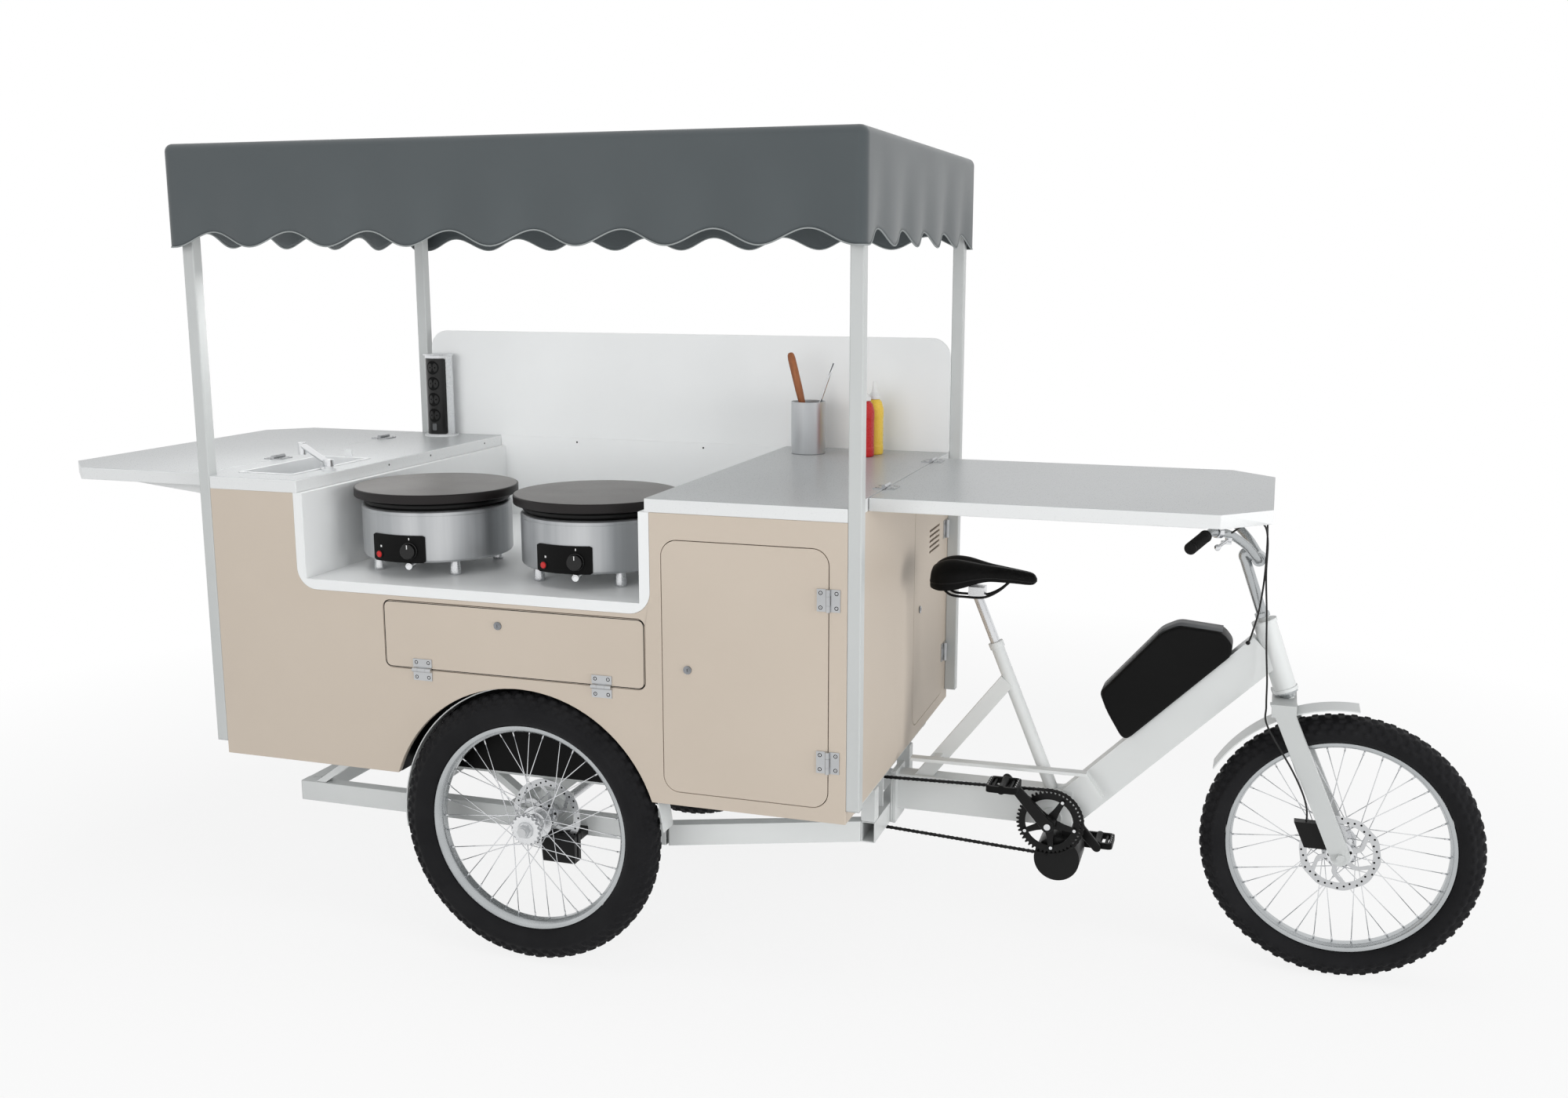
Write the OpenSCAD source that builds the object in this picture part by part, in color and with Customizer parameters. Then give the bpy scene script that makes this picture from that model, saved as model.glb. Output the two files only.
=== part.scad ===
// Three-wheeled pedal cart for hot street food: counter box, griddles, sink, fold-up tables and canopy
// X runs forward, Y to the rider's left, Z up; the ground is at zero

/* [Body box] */
// Length of the box along the cart
box_len = 1852; // [1840:1:1864]
// Width of the box across the cart
box_wid = 1205; // [1195:1:1215]
// Height of the lower edge of the box
box_bottom = 494; // [492:1:496]
// Thickness of the box boards
panel_t = 18; // [16:1:19]
// Height of the worktops above the ground
counter_top = 1300; // [1295:1:1305]
// Thickness of the worktops and tables
counter_t = 35; // [32:1:36]

/* [Recess] */
// Rear outer face of the recess tub, behind the box centre
recess_rear = 655; // [650:1:660]
// Front outer face of the recess tub, ahead of the box centre
recess_front = 402; // [398:1:406]
// Height of the recess floor
recess_floor = 1027; // [1024:1:1029]
// Wall thickness of the recess tub
recess_wall = 29; // [24:1:30]
// Radius of the tub's lower corners
recess_corner = 60; // [30:1:65]

/* [Doors] */
// Width of the drop door
drop_wid = 770; // [700:1:780]
// Lower edge of the drop door
drop_low = 798; // [797:1:802]
// Height of the drop door
drop_high = 186; // [180:1:188]
// Rear edge of the side door, ahead of the box centre
side_rear = 435; // [433:1:438]
// Width of the side door
side_wid = 443; // [438:1:444]
// Lower edge of the doors
door_low = 532; // [525:1:540]
// Height of the side and front doors
door_high = 664; // [640:1:670]
// Near edge of the front door, left of the middle
front_near = 121; // [118:1:126]
// Width of the front door
front_wid = 412; // [400:1:412]
// Corner radius of the doors
door_corner = 42; // [20:1:50]
// Gap round each door
door_gap = 2; // [1.5:0.1:2.5]

/* [Tables] */
// Length of the front table
front_table_len = 977; // [940:1:990]
// Width of the front table
front_table_wid = 830; // [780:1:850]
// Length of the rear table
rear_table_len = 541; // [500:1:560]
// Width of the rear table
rear_table_wid = 1128; // [1080:1:1129]
// Corner chamfer of the tables
table_chamfer = 117; // [80:1:130]
// Rear overhang of the rear worktop
rear_overhang = 56; // [50:1:60]

/* [Roof] */
// Reach of the canopy past the box at each end
canopy_over_end = 50; // [48:1:55]
// Reach of the canopy past the box at each side
canopy_over_side = 42; // [41:1:45]
// Height of the canopy's top
canopy_top = 2197; // [2190:1:2210]
// Depth of the valance at its lowest points
valance_deep = 271; // [240:1:280]
// Rise of the hem between its low points
hem_rise = 39; // [20:1:45]
// Width of the square posts
post_w = 35; // [32:1:36]
// Height of the backsplash
splash_high = 355; // [300:1:380]

/* [Griddles] */
// Rear griddle centre, ahead of the box centre
griddle_rear_x = -385; // [-388:1:-382]
// Front griddle centre, ahead of the box centre
griddle_front_x = 120; // [114:1:126]
// Griddle centres, left of the middle
griddle_y = -302; // [-310:1:-290]
// Plate radius
plate_r = 231; // [220:1:234]
// Plate thickness
plate_t = 27; // [20:1:30]
// Housing radius
drum_r = 211; // [205:1:215]

/* [Wheels] */
// Rear axle, ahead of the box centre
rear_axle_x = 33; // [30:1:36]
// Distance between the rear wheels' middle planes
rear_track = 1160; // [1158:1:1164]
// Rear tyre radius
rear_tyre_r = 378; // [376:1:379]
// Rear tyre section radius
rear_section_r = 48; // [47:0.5:48.5]
// Front axle, ahead of the steering head's lower end
fork_reach = 159; // [155:1:163]
// Front tyre radius
front_tyre_r = 360; // [358:1:361]
// Front tyre section radius
front_section_r = 36; // [35:0.5:36.5]
// Spokes in each wheel
spoke_count = 36; // [24:4:36]
// Brake disc radius
disc_r = 101.5; // [95:0.5:102]

/* [Bike] */
// Crank axle, ahead of the box's front face
crank_ahead = 437; // [435:1:439]
// Crank axle height
crank_z = 360; // [358:1:362]
// Crank length
crank_len = 170; // [160:1:175]
// Main beam depth
beam_deep = 103; // [98:1:106]
// Down tube depth
down_deep = 98; // [90:1:102]
// Steering axis lean from upright, in degrees
steer_lean = 19.4; // [19:0.1:20]
// Handlebar tube radius
bar_r = 11; // [10:0.2:11]
// Grip radius
grip_r = 16; // [14:0.5:16.5]

/* [Fittings] */
// Hinge width across both leaves
hinge_wid = 60; // [50:1:60]
// Hinge length along its pin
hinge_long = 57; // [45:1:60]
// Power tower radius
tower_r = 46; // [42:1:47]
// Power tower height above the worktop
tower_high = 275; // [250:1:280]
// Sink length across the cart
sink_long = 383; // [360:1:390]
// Sink width along the cart
sink_wid = 185; // [170:1:188]
// Utensil cup radius
cup_r = 53; // [48:1:55]
// Sauce bottle radius
bottle_r = 30; // [26:1:31]

/* [Hidden] */
$fn = 48;
overrun = 2;
clear = 0.3;
run_gap = 0.05;
weld_gap = 0.2;
half = 0.5;

steel_white = [0.86, 0.87, 0.86];
board_beige = [0.78, 0.75, 0.69];
laminate = [0.93, 0.93, 0.92];
top_grey = [0.74, 0.76, 0.77];
steel_grey = [0.72, 0.73, 0.74];
black = [0.06, 0.06, 0.065];
slate = [0.22, 0.25, 0.27];
rubber_black = [0.05, 0.05, 0.05];
wood_brown = [0.32, 0.17, 0.09];

// Places given from the box's front face
bx = box_len * half;
function ahead(p) = [bx + p[0], p[1]];
function ahead_xyz(p) = [bx + p[0], p[1], p[2]];
function ahead_pair(p) = [bx + p[0], bx + p[1]];
crank_x = bx + crank_ahead;
head_from_box = [1037, 774];
head_low = ahead(head_from_box);
front_axle_x = head_low[0] + fork_reach;
front_reach = front_axle_x + front_tyre_r;
rear_reach = bx + rear_overhang + rear_table_len;
shift_x = (rear_reach - front_reach) * half;

by = box_wid * half;
in_x = bx - panel_t;
in_y = by - panel_t;
counter_low = counter_top - counter_t;
canopy_len = 2 * (bx + canopy_over_end);
canopy_wid = 2 * (by + canopy_over_side);

tub_low = recess_floor - recess_wall;
tub_in_rear = -recess_rear + recess_wall;
tub_in_front = recess_front - recess_wall;
tub_far_in = in_y - recess_wall;
counter_lap = 12;
rear_counter_edge = -recess_rear + counter_lap;
front_counter_edge = recess_front - counter_lap;

arch_x = 18;
arch_z = 365;
arch_r = 402;
liner_r = 416;
liner_t = 4;
liner_room = 32;
liner_in = rear_track * half - rear_section_r - liner_room;

hinge_half = hinge_wid * half;
leaf_t = 3;
knuckle_r = 6;
pin_r = 3;
axis_out = knuckle_r + clear;
knuckle_gap = 0.4;
middle_share = 0.4;
hinge_mid = hinge_long * middle_share;
leaf_back = knuckle_r + half;

lock_head_r = 11;
lock_barrel_r = 8;
lock_proud = 3;
lock_behind = 6;
cam_t = 3;
cam_w = 14;
cam_slack = 10;

side_front = side_rear + side_wid;
front_far = front_near + front_wid;
side_axis_x = side_front + door_gap * half;
front_axis_y = front_far + door_gap * half;
drop_axis_z = drop_low - door_gap * half;
side_lock_x = 504;
side_lock_z = 862;
front_lock_y = 192;
front_lock_z = 876;
drop_lock_x = -37;
drop_lock_z = 937;
side_hinge_zs = [654, 1070];
front_hinge_zs = [664, 1063];
drop_hinge_xs = [-270, 263];
front_table_hinge_ys = [-235, 330];
rear_table_hinge_ys = [-216, 358];

function both() = [-1, 1];

// Board between two corners, measured from the box centre
module slab(lo, hi) {
    translate([shift_x + lo[0], lo[1], lo[2]]) cube(hi - lo);
}

// Round bar between two points
module rod(a, b, r) {
    d = b - a;
    translate([shift_x, 0, 0] + a)
        rotate([0, acos(d[2] / norm(d)), atan2(d[1], d[0])])
            cylinder(r = r, h = norm(d));
}

// Cylinder across the cart
module cross_rod(x, z, y0, y1, r) {
    translate([shift_x + x, y1, z]) rotate([90, 0, 0]) cylinder(r = r, h = y1 - y0);
}

// Upright cylinder
module post(x, y, z0, z1, r) {
    translate([shift_x + x, y, z0]) cylinder(r = r, h = z1 - z0);
}

// Flat profile in the side view, given its thickness across the cart
module side_plate(points, y0, y1) {
    translate([shift_x, y1, 0]) rotate([90, 0, 0]) linear_extrude(height = y1 - y0) polygon(points);
}

// Square tube leaning in the side view
module lean_tube(a, b, deep, y0, y1) {
    d = b - a;
    translate([shift_x + a[0], y0, a[1]])
        rotate([0, -atan2(d[1], d[0]), 0])
            translate([0, 0, -deep * half]) cube([norm(d), y1 - y0, deep]);
}

// Square tube laid level at an angle in plan
module plan_tube(a, b, w, z0, z1) {
    d = b - a;
    translate([shift_x + a[0], a[1], z0])
        rotate([0, 0, atan2(d[1], d[0])])
            translate([0, -w * half, 0]) cube([norm(d), w, z1 - z0]);
}

// Upright plate with round corners, lying across Y
module round_plate(x0, x1, z0, z1, r, y0, y1) {
    slab([x0 + r, y0, z0], [x1 - r, y1, z1]);
    slab([x0, y0, z0 + r], [x1, y1, z1 - r]);
    for (x = [x0 + r, x1 - r], z = [z0 + r, z1 - r]) cross_rod(x, z, y0, y1, r);
}

// Upright plate with round corners, lying across X
module round_front(y0, y1, z0, z1, r, x0, x1) {
    slab([x0, y0 + r, z0], [x1, y1 - r, z1]);
    slab([x0, y0, z0 + r], [x1, y1, z1 - r]);
    for (y = [y0 + r, y1 - r], z = [z0 + r, z1 - r])
        translate([shift_x + x0, y, z]) rotate([0, 90, 0]) cylinder(r = r, h = x1 - x0);
}

function unit(v) = v / norm(v);
function spline(a, b, c, d, t) =
    half * (2 * b + (c - a) * t + (2 * a - 5 * b + 4 * c - d) * t * t + (3 * b - a - 3 * c + d) * t * t * t);
function curve(p, n) = [
    for (i = [0 : len(p) - 2], k = [0 : n - 1])
        spline(p[max(i - 1, 0)], p[i], p[i + 1], p[min(i + 2, len(p) - 1)], k / n),
    p[len(p) - 1]
];

// Tube swept along a path; every face is a triangle
module swept(path, r, sides, ref) {
    n = len(path);
    ring = [for (i = [0 : n - 1])
        let (t = unit(path[min(i + 1, n - 1)] - path[max(i - 1, 0)]),
             s = unit(cross(t, ref)),
             u = cross(s, t))
        for (k = [0 : sides - 1])
            [shift_x, 0, 0] + path[i] + r * (s * cos(360 * k / sides) + u * sin(360 * k / sides))];
    skin = [for (i = [0 : n - 2], k = [0 : sides - 1])
        let (a = i * sides + k, b = i * sides + (k + 1) % sides)
        each [[a, b, a + sides], [b, b + sides, a + sides]]];
    caps = [for (k = [1 : sides - 2])
        each [[0, k + 1, k], [(n - 1) * sides, (n - 1) * sides + k, (n - 1) * sides + k + 1]]];
    polyhedron(points = ring, faces = concat(skin, caps), convexity = 10);
}

// Hinge lying on a level face: pin along Y, fixed leaf towards +X
module leaf_fixed() {
    difference() {
        union() {
            translate([0, -hinge_long * half, 0]) cube([hinge_half, hinge_long, leaf_t]);
            translate([0, hinge_long * half, axis_out]) rotate([90, 0, 0]) cylinder(r = knuckle_r,
                h = hinge_long);
        }
        translate([-hinge_half, -hinge_mid * half - knuckle_gap, -overrun])
            cube([hinge_half + leaf_back, hinge_mid + 2 * knuckle_gap, knuckle_r * 3]);
    }
    translate([0, hinge_long * half, axis_out]) rotate([90, 0, 0]) cylinder(r = pin_r, h = hinge_long);
}

module leaf_moving() {
    difference() {
        union() {
            translate([-hinge_half, -hinge_long * half, 0]) cube([hinge_half - leaf_back, hinge_long,
                leaf_t]);
            translate([-hinge_half, -hinge_mid * half, 0]) cube([hinge_half, hinge_mid, leaf_t]);
            translate([0, hinge_mid * half, axis_out]) rotate([90, 0, 0]) cylinder(r = knuckle_r,
                h = hinge_mid);
        }
        translate([0, hinge_long * half, axis_out]) rotate([90, 0, 0])
            cylinder(r = pin_r + run_gap, h = hinge_long);
    }
}

module on_side() {
    for (z = side_hinge_zs) translate([shift_x + side_axis_x, -by, z]) rotate([90, 0, 0]) children();
}

module on_drop() {
    for (x = drop_hinge_xs)
        translate([shift_x + x, -by, drop_axis_z]) rotate([90, 0, 0]) rotate([0, 0, -90]) children();
}

module on_front() {
    for (z = front_hinge_zs)
        translate([shift_x + bx, front_axis_y, z]) rotate([0, 0, 90]) rotate([90, 0, 0]) children();
}

module on_rear_table() {
    for (y = rear_table_hinge_ys)
        translate([shift_x - bx - rear_overhang - clear, y, counter_top]) children();
}

front_line = bx + 2;
module on_front_table() {
    for (y = front_table_hinge_ys)
        translate([shift_x + front_line - clear, y, counter_top]) rotate([0, 0, 180]) children();
}

// Cam lock standing on an outside face whose normal is +Z; the cam points along +Y
module cam_lock(cam_len) {
    translate([0, 0, clear]) cylinder(r = lock_head_r, h = lock_proud);
    translate([0, 0, -panel_t - lock_behind - cam_t])
        cylinder(r = lock_barrel_r, h = panel_t + lock_behind + cam_t + clear + overrun);
    translate([-cam_w * half, -cam_w * half, -panel_t - lock_behind - cam_t])
        cube([cam_w, cam_len + cam_w * half, cam_t]);
}

// Under-box chassis
rail_in = 380;
rail_out = 420;
rail_low = 300;
rail_high = 360;
rail_rear = -820;
rail_front = 360;
sub_low = 454;
sub_end = 900;
sub_w = 40;
front_beam_x = 865;
front_beam_w = 40;
front_beam_y = 225;
flange_t = 8;
flange_y = 56;
flange_high = 453;
guide_y0 = -96;
guide_y1 = -91;
guide_wid = 30;
tube_wall = 3;
strut_w = 32;
strut_shares = [[0.042, 0.153], [0.331, 0.441], [0.644, 0.534], [0.975, 0.873]];
cross_low_x = -140;
cross_high_xs = [-480, 400];

function rail_at(share) = rail_rear + share * (rail_front - rail_rear);

module hollow_x(lo, hi) {
    difference() {
        slab(lo, hi);
        slab([lo[0] - overrun, lo[1] + tube_wall, lo[2] + tube_wall],
             [hi[0] + overrun, hi[1] - tube_wall, hi[2] - tube_wall]);
    }
}

module hollow_y(lo, hi) {
    difference() {
        slab(lo, hi);
        slab([lo[0] + tube_wall, lo[1] - overrun, lo[2] + tube_wall],
             [hi[0] - tube_wall, hi[1] + overrun, hi[2] - tube_wall]);
    }
}

module chassis_side() {
    hollow_x([rail_rear, rail_in, rail_low], [rail_front, rail_out, rail_high]);
    hollow_x([-sub_end, rail_in, sub_low], [sub_end, rail_out, box_bottom]);
    for (s = strut_shares)
        side_plate([[rail_at(s[0]), rail_high + weld_gap], [rail_at(s[0]) + strut_w, rail_high + weld_gap],
                    [rail_at(s[1]) + strut_w, sub_low - weld_gap], [rail_at(s[1]), sub_low - weld_gap]],
                   rail_in + tube_wall, rail_out - tube_wall);
    difference() {
        plan_tube([rail_front, rail_out - sub_w * half], [front_beam_x, front_beam_y - sub_w * half],
                  sub_w, rail_low, rail_high);
        plan_tube([rail_front - sub_w, rail_out - sub_w * half * half], [front_beam_x,
            front_beam_y - sub_w * half],
                  sub_w - 2 * tube_wall, rail_low + tube_wall, rail_high - tube_wall);
        slab([rail_front - sub_w, 0, rail_low - overrun], [rail_front + weld_gap, by, rail_high + overrun]);
        slab([front_beam_x - weld_gap, 0, rail_low - overrun], [front_beam_x + sub_w, by,
            rail_high + overrun]);
    }
    slab([front_beam_x, front_beam_y - sub_w, rail_high + weld_gap],
         [front_beam_x + front_beam_w, front_beam_y, sub_low - weld_gap]);
}

module chassis() {
    color(steel_white) {
        chassis_side();
        mirror([0, 1, 0]) chassis_side();
        for (x = [rail_rear, cross_low_x])
            hollow_y([x, -rail_in + weld_gap, rail_low], [x + sub_w, rail_in - weld_gap, rail_high]);
        for (x = concat([-sub_end, sub_end - sub_w], cross_high_xs))
            hollow_y([x, -rail_in + weld_gap, sub_low], [x + sub_w, rail_in - weld_gap, box_bottom]);
        hollow_y([front_beam_x, -front_beam_y, rail_low],
                 [front_beam_x + front_beam_w, front_beam_y, rail_high]);
        slab([front_beam_x + front_beam_w + weld_gap, -flange_y, rail_low],
             [front_beam_x + front_beam_w + flange_t, flange_y, flange_high]);
        slab([front_beam_x, guide_y0, rail_high + weld_gap],
             [front_beam_x + guide_wid, guide_y1, flange_high - overrun]);
    }
}

// Bike frame
frame_x0 = front_beam_x + front_beam_w + flange_t + weld_gap;
beam_half = 30;
beam_low = 337;
beam_ahead = 494;
beam_end = bx + beam_ahead;
down_from_ahead = [626, 600];
down_from = ahead(down_from_ahead);
down_lean = 44.6;
down_half = 27;
down_start = -250;
down_end = 452;
down_dir = [cos(down_lean), sin(down_lean)];
down_up = [-sin(down_lean), cos(down_lean)];
function on_down(s, out) = down_from + s * down_dir + out * down_up;
seat_low_ahead = [428, 445];
seat_low = ahead(seat_low_ahead);
seat_top_ahead = [262, 845];
seat_top = ahead(seat_top_ahead);
seat_r = 18;
seatpost_r = 13.5;
seat_dir = unit(seat_top - seat_low);
seat_bore = 275;
stay_low_ahead = [59, 427];
stay_low = ahead(stay_low_ahead);
stay_high_ahead = [300, 738];
stay_high = ahead(stay_high_ahead);
stay_deep = 42;
stay_half = 20;
head_long = 198;
head_r = 30;
cup_ring_r = 33;
cup_ring_t = 9;
steerer_r = 15;
steer_dir = [-sin(steer_lean), 0, cos(steer_lean)];
shell_r = 29;
shell_half = 38;
crank_axle_r = 10;
gusset_in = 10;
frame_wall = 4;
seat_sink = 10;
gusset_low_ahead = [474, 452];
gusset_low = ahead(gusset_low_ahead);
gusset_high_ahead = [512, 486];
gusset_high = ahead(gusset_high_ahead);
gusset_near = 50;
gusset_far = 220;
gusset_deep = 60;

function head_at(s) = [head_low[0], 0, head_low[1]] + s * steer_dir;
function seat_at(s) = [seat_low[0] + s * seat_dir[0], 0, seat_low[1] + s * seat_dir[1]];
seat_long = norm(seat_top - seat_low);

module bike_frame() {
    color(steel_white) difference() {
        union() {
            slab([frame_x0, -flange_y, rail_low], [frame_x0 + flange_t, flange_y, flange_high]);
            slab([frame_x0, -beam_half, beam_low], [beam_end, beam_half, beam_low + beam_deep]);
            lean_tube(on_down(down_start, -down_deep * half), on_down(down_end, -down_deep * half),
                      down_deep, -down_half, down_half);
            lean_tube(stay_low, stay_high, stay_deep, -stay_half, stay_half);
            rod(seat_at(-seat_sink), seat_at(seat_long), seat_r);
            rod(seat_at(seat_long - seat_r), seat_at(seat_long), seat_r + leaf_t);
            rod(head_at(0), head_at(head_long), head_r);
            rod(head_at(0), head_at(cup_ring_t), cup_ring_r);
            rod(head_at(head_long - cup_ring_t), head_at(head_long), cup_ring_r);
            cross_rod(crank_x, crank_z, -shell_half, shell_half, shell_r);
            side_plate([seat_low + [seat_sink, -seat_sink], gusset_low, gusset_high,
                on_down(-gusset_near, -overrun),
                        on_down(-gusset_far, -gusset_deep)], -gusset_in, gusset_in);
        }
        slab([frame_x0 + flange_t, -beam_half + frame_wall, beam_low + frame_wall],
             [crank_x - shell_r * 2, beam_half - frame_wall, beam_low + beam_deep - frame_wall]);
        lean_tube(on_down(0, -down_deep * half), on_down(down_end - 2 * head_r, -down_deep * half),
                  down_deep - 2 * frame_wall, -down_half + frame_wall, down_half - frame_wall);
        rod(seat_at(seat_long - seat_bore), seat_at(seat_long + seat_r), seatpost_r + run_gap);
        rod(head_at(-seat_r), head_at(head_long + seat_r), steerer_r + run_gap);
        cross_rod(crank_x, crank_z, -shell_half - overrun, shell_half + overrun, crank_axle_r + run_gap);
    }
}

// Rear axle, carriers and brakes
axle_z = rear_tyre_r;
axle_r = 12.5;
axle_end = 640;
carrier_wid = 100;
carrier_t = 8;
carrier_high = 425;
boss_r = 30;
boss_out = 446;
disc_out = 491.3;
disc_t = 2.3;
caliper_lo = [25, 470, 250];
caliper_hi = [125, 512, 330];
caliper_slot = 1.4;
bracket_x = [95, 125];
bracket_z = [305, 330];

module axle_carriers() {
    color(steel_white) for (s = both()) mirror([0, (1 - s) * half, 0]) difference() {
        union() {
            slab([rear_axle_x - carrier_wid * half, rail_out, rail_low],
                 [rear_axle_x + carrier_wid * half, rail_out + carrier_t, carrier_high]);
            cross_rod(rear_axle_x, axle_z, rail_out, boss_out, boss_r);
        }
        cross_rod(rear_axle_x, axle_z, rail_in, boss_out + overrun, axle_r + run_gap);
    }
}

module rear_calipers() {
    color(black) for (s = both()) mirror([0, (1 - s) * half, 0]) {
        difference() {
            slab(caliper_lo, caliper_hi);
            slab([caliper_lo[0] - overrun, disc_out - disc_t - caliper_slot, caliper_lo[2] + cam_w],
                 [caliper_hi[0] + overrun, disc_out + caliper_slot, caliper_hi[2] + overrun]);
        }
        slab([bracket_x[0], rail_out, bracket_z[0]], [bracket_x[1], caliper_lo[1] - weld_gap, bracket_z[1]]);
    }
}

// Guards
rear_guard_r = 388;
guard_t = 3;
rear_guard_inner = 62;
rear_guard_outer = 2;
rear_guard_y = [rear_track * half - rear_guard_inner, rear_track * half + rear_guard_outer];
rear_guard_arc = [4, 187];
guard_pad = 20;
chain_guard_y = [-92, -62];
chain_guard_t = 9;
guard_start_ahead = [45, 504];
guard_start = ahead(guard_start_ahead);
guard_bend_ahead = [531, 509];
guard_bend = ahead(guard_bend_ahead);
guard_tip_ahead = [574, 450];
guard_tip = ahead(guard_tip_ahead);
guard_tip_t = [8, 4];
guard_tab_ahead = [104, 124];
guard_tab_x = ahead_pair(guard_tab_ahead);
guard_tab_z = [505, 511];

module rear_guards() {
    color(steel_white) {
        for (s = both()) mirror([0, (1 - s) * half, 0]) {
            translate([shift_x + rear_axle_x, rear_guard_y[1], axle_z]) rotate([90, 0, 0])
                rotate([0, 0, rear_guard_arc[0]])
                    rotate_extrude(angle = rear_guard_arc[1] - rear_guard_arc[0])
                        translate([rear_guard_r, 0]) square([guard_t, rear_guard_y[1] - rear_guard_y[0]]);
            slab([rear_axle_x - guard_pad, rear_guard_y[0] + guard_pad, axle_z + rear_guard_r + half],
                 [rear_axle_x + guard_pad, rear_guard_y[1] - guard_pad,
                  axle_z + liner_r - liner_t - clear * 2]);
        }
        side_plate([guard_start, guard_bend, guard_tip, guard_tip + guard_tip_t,
                    guard_bend + [chain_guard_t * half, chain_guard_t], guard_start + [0, chain_guard_t]],
                   chain_guard_y[0], chain_guard_y[1]);
        slab([guard_tab_x[0], chain_guard_y[1] - half, guard_tab_z[0]], [guard_tab_x[1], -stay_half,
            guard_tab_z[1]]);
    }
}

module wheel_arches() {
    color(black) for (s = both()) mirror([0, (1 - s) * half, 0]) difference() {
        cross_rod(rear_axle_x, axle_z, liner_in, in_y, liner_r);
        cross_rod(rear_axle_x, axle_z, liner_in + liner_t, in_y + overrun, liner_r - liner_t);
        slab([-bx, 0, -liner_r], [bx, by, box_bottom]);
    }
}

// Battery, motor and chain
battery_half = 50;
battery_long = 405;
battery_high = 165;
battery_shares = [[0.007, 0], [0.933, 0], [0.988, 0.12], [1, 0.375], [0.817, 0.9], [0.701, 1], [0.116, 0.88],
                  [0.064, 0.58]];
motor_ahead = 459;
motor_x = bx + motor_ahead;
motor_z = 250;
motor_r = 63;
motor_y = [-58, 60];
neck_ahead = [467, 496];
neck_x = ahead_pair(neck_ahead);
neck_y = 26;
ring_pitch = 93;
sprocket_pitch = 40.4;
chain_half = 5;
chain_y = [-75, -65];

module battery() {
    color(black) side_plate([for (p = battery_shares) on_down(p[0] * battery_long,
        clear + p[1] * battery_high)],
                            -battery_half, battery_half);
}

module motor() {
    color(black) {
        cross_rod(motor_x, motor_z, motor_y[0], motor_y[1], motor_r);
        slab([neck_x[0], -neck_y, motor_z], [neck_x[1], neck_y, beam_low - clear]);
    }
}

module chain_loop(out, y0, y1) {
    translate([shift_x, y1, 0]) rotate([90, 0, 0]) linear_extrude(height = y1 - y0) hull() {
        translate([crank_x, crank_z]) circle(r = ring_pitch + out);
        translate([rear_axle_x, axle_z]) circle(r = sprocket_pitch + out);
    }
}

module chain() {
    color(steel_grey) difference() {
        chain_loop(chain_half, chain_y[0], chain_y[1]);
        chain_loop(-chain_half, chain_y[0] - overrun, chain_y[1] + overrun);
    }
}

// Box boards
module tub_block(grow, y0, y1, z1) {
    r = recess_corner + grow;
    slab([-recess_rear - grow, y0, tub_low - grow + r], [recess_front + grow, y1, z1]);
    slab([-recess_rear - grow + r, y0, tub_low - grow], [recess_front + grow - r, y1, z1]);
    for (x = [-recess_rear - grow + r, recess_front + grow - r])
        cross_rod(x, tub_low - grow + r, y0, y1, r);
}

module arch_cut(y0, y1) {
    cross_rod(arch_x, arch_z, y0, y1, arch_r);
}

module box_panels() {
    color(board_beige) {
        difference() {
            slab([-bx, -by, box_bottom], [bx, -in_y, counter_low]);
            tub_block(clear, -by - overrun, -in_y + overrun, counter_low + overrun);
            arch_cut(-by - overrun, -in_y + overrun);
            round_plate(-drop_wid * half - door_gap, drop_wid * half + door_gap, drop_low - door_gap,
                        drop_low + drop_high + door_gap, door_corner * half + door_gap,
                        -by - overrun, -in_y + overrun);
            round_plate(side_rear - door_gap, side_front + door_gap, door_low - door_gap,
                        door_low + door_high + door_gap, door_corner + door_gap,
                        -by - overrun, -in_y + overrun);
        }
        difference() {
            union() {
                slab([-bx, in_y, box_bottom], [bx, by, counter_low]);
                slab([rear_counter_edge, in_y, counter_low - overrun], [front_counter_edge, by, counter_top]);
            }
            arch_cut(in_y - overrun, by + overrun);
        }
        slab([-bx, -in_y + weld_gap, box_bottom], [-in_x, in_y - weld_gap, counter_low]);
        difference() {
            slab([in_x, -in_y + weld_gap, box_bottom], [bx, in_y - weld_gap, counter_low]);
            round_front(front_near - door_gap, front_far + door_gap, door_low - door_gap,
                        door_low + door_high + door_gap, door_corner + door_gap, in_x - overrun,
                            bx + overrun);
        }
    }
}

shelf_low = 774;
shelf_t = 12;
shelf_y = 496;

module inner_panels() {
    color(laminate) {
        difference() {
            union() {
                slab([-in_x, -in_y, box_bottom], [in_x, in_y, box_bottom + panel_t]);
                slab([-recess_rear - panel_t, -in_y, box_bottom + panel_t + weld_gap],
                     [-recess_rear - clear, in_y, counter_low]);
                slab([recess_front + clear, -in_y, box_bottom + panel_t + weld_gap],
                     [recess_front + panel_t, in_y, counter_low]);
            }
            for (s = both()) mirror([0, (1 - s) * half, 0])
                cross_rod(rear_axle_x, axle_z, liner_in - clear, by, liner_r + clear);
        }
        slab([-recess_rear, -shelf_y, shelf_low], [recess_front, shelf_y, shelf_low + shelf_t]);
    }
}

module recess_tub() {
    color(laminate) {
        difference() {
            tub_block(0, -by, in_y, counter_low);
            slab([tub_in_rear, -by - overrun, recess_floor], [tub_in_front, tub_far_in,
                counter_low + overrun]);
        }
        slab([rear_counter_edge, tub_far_in, counter_low - overrun], [front_counter_edge, in_y, counter_top]);
    }
}

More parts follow.
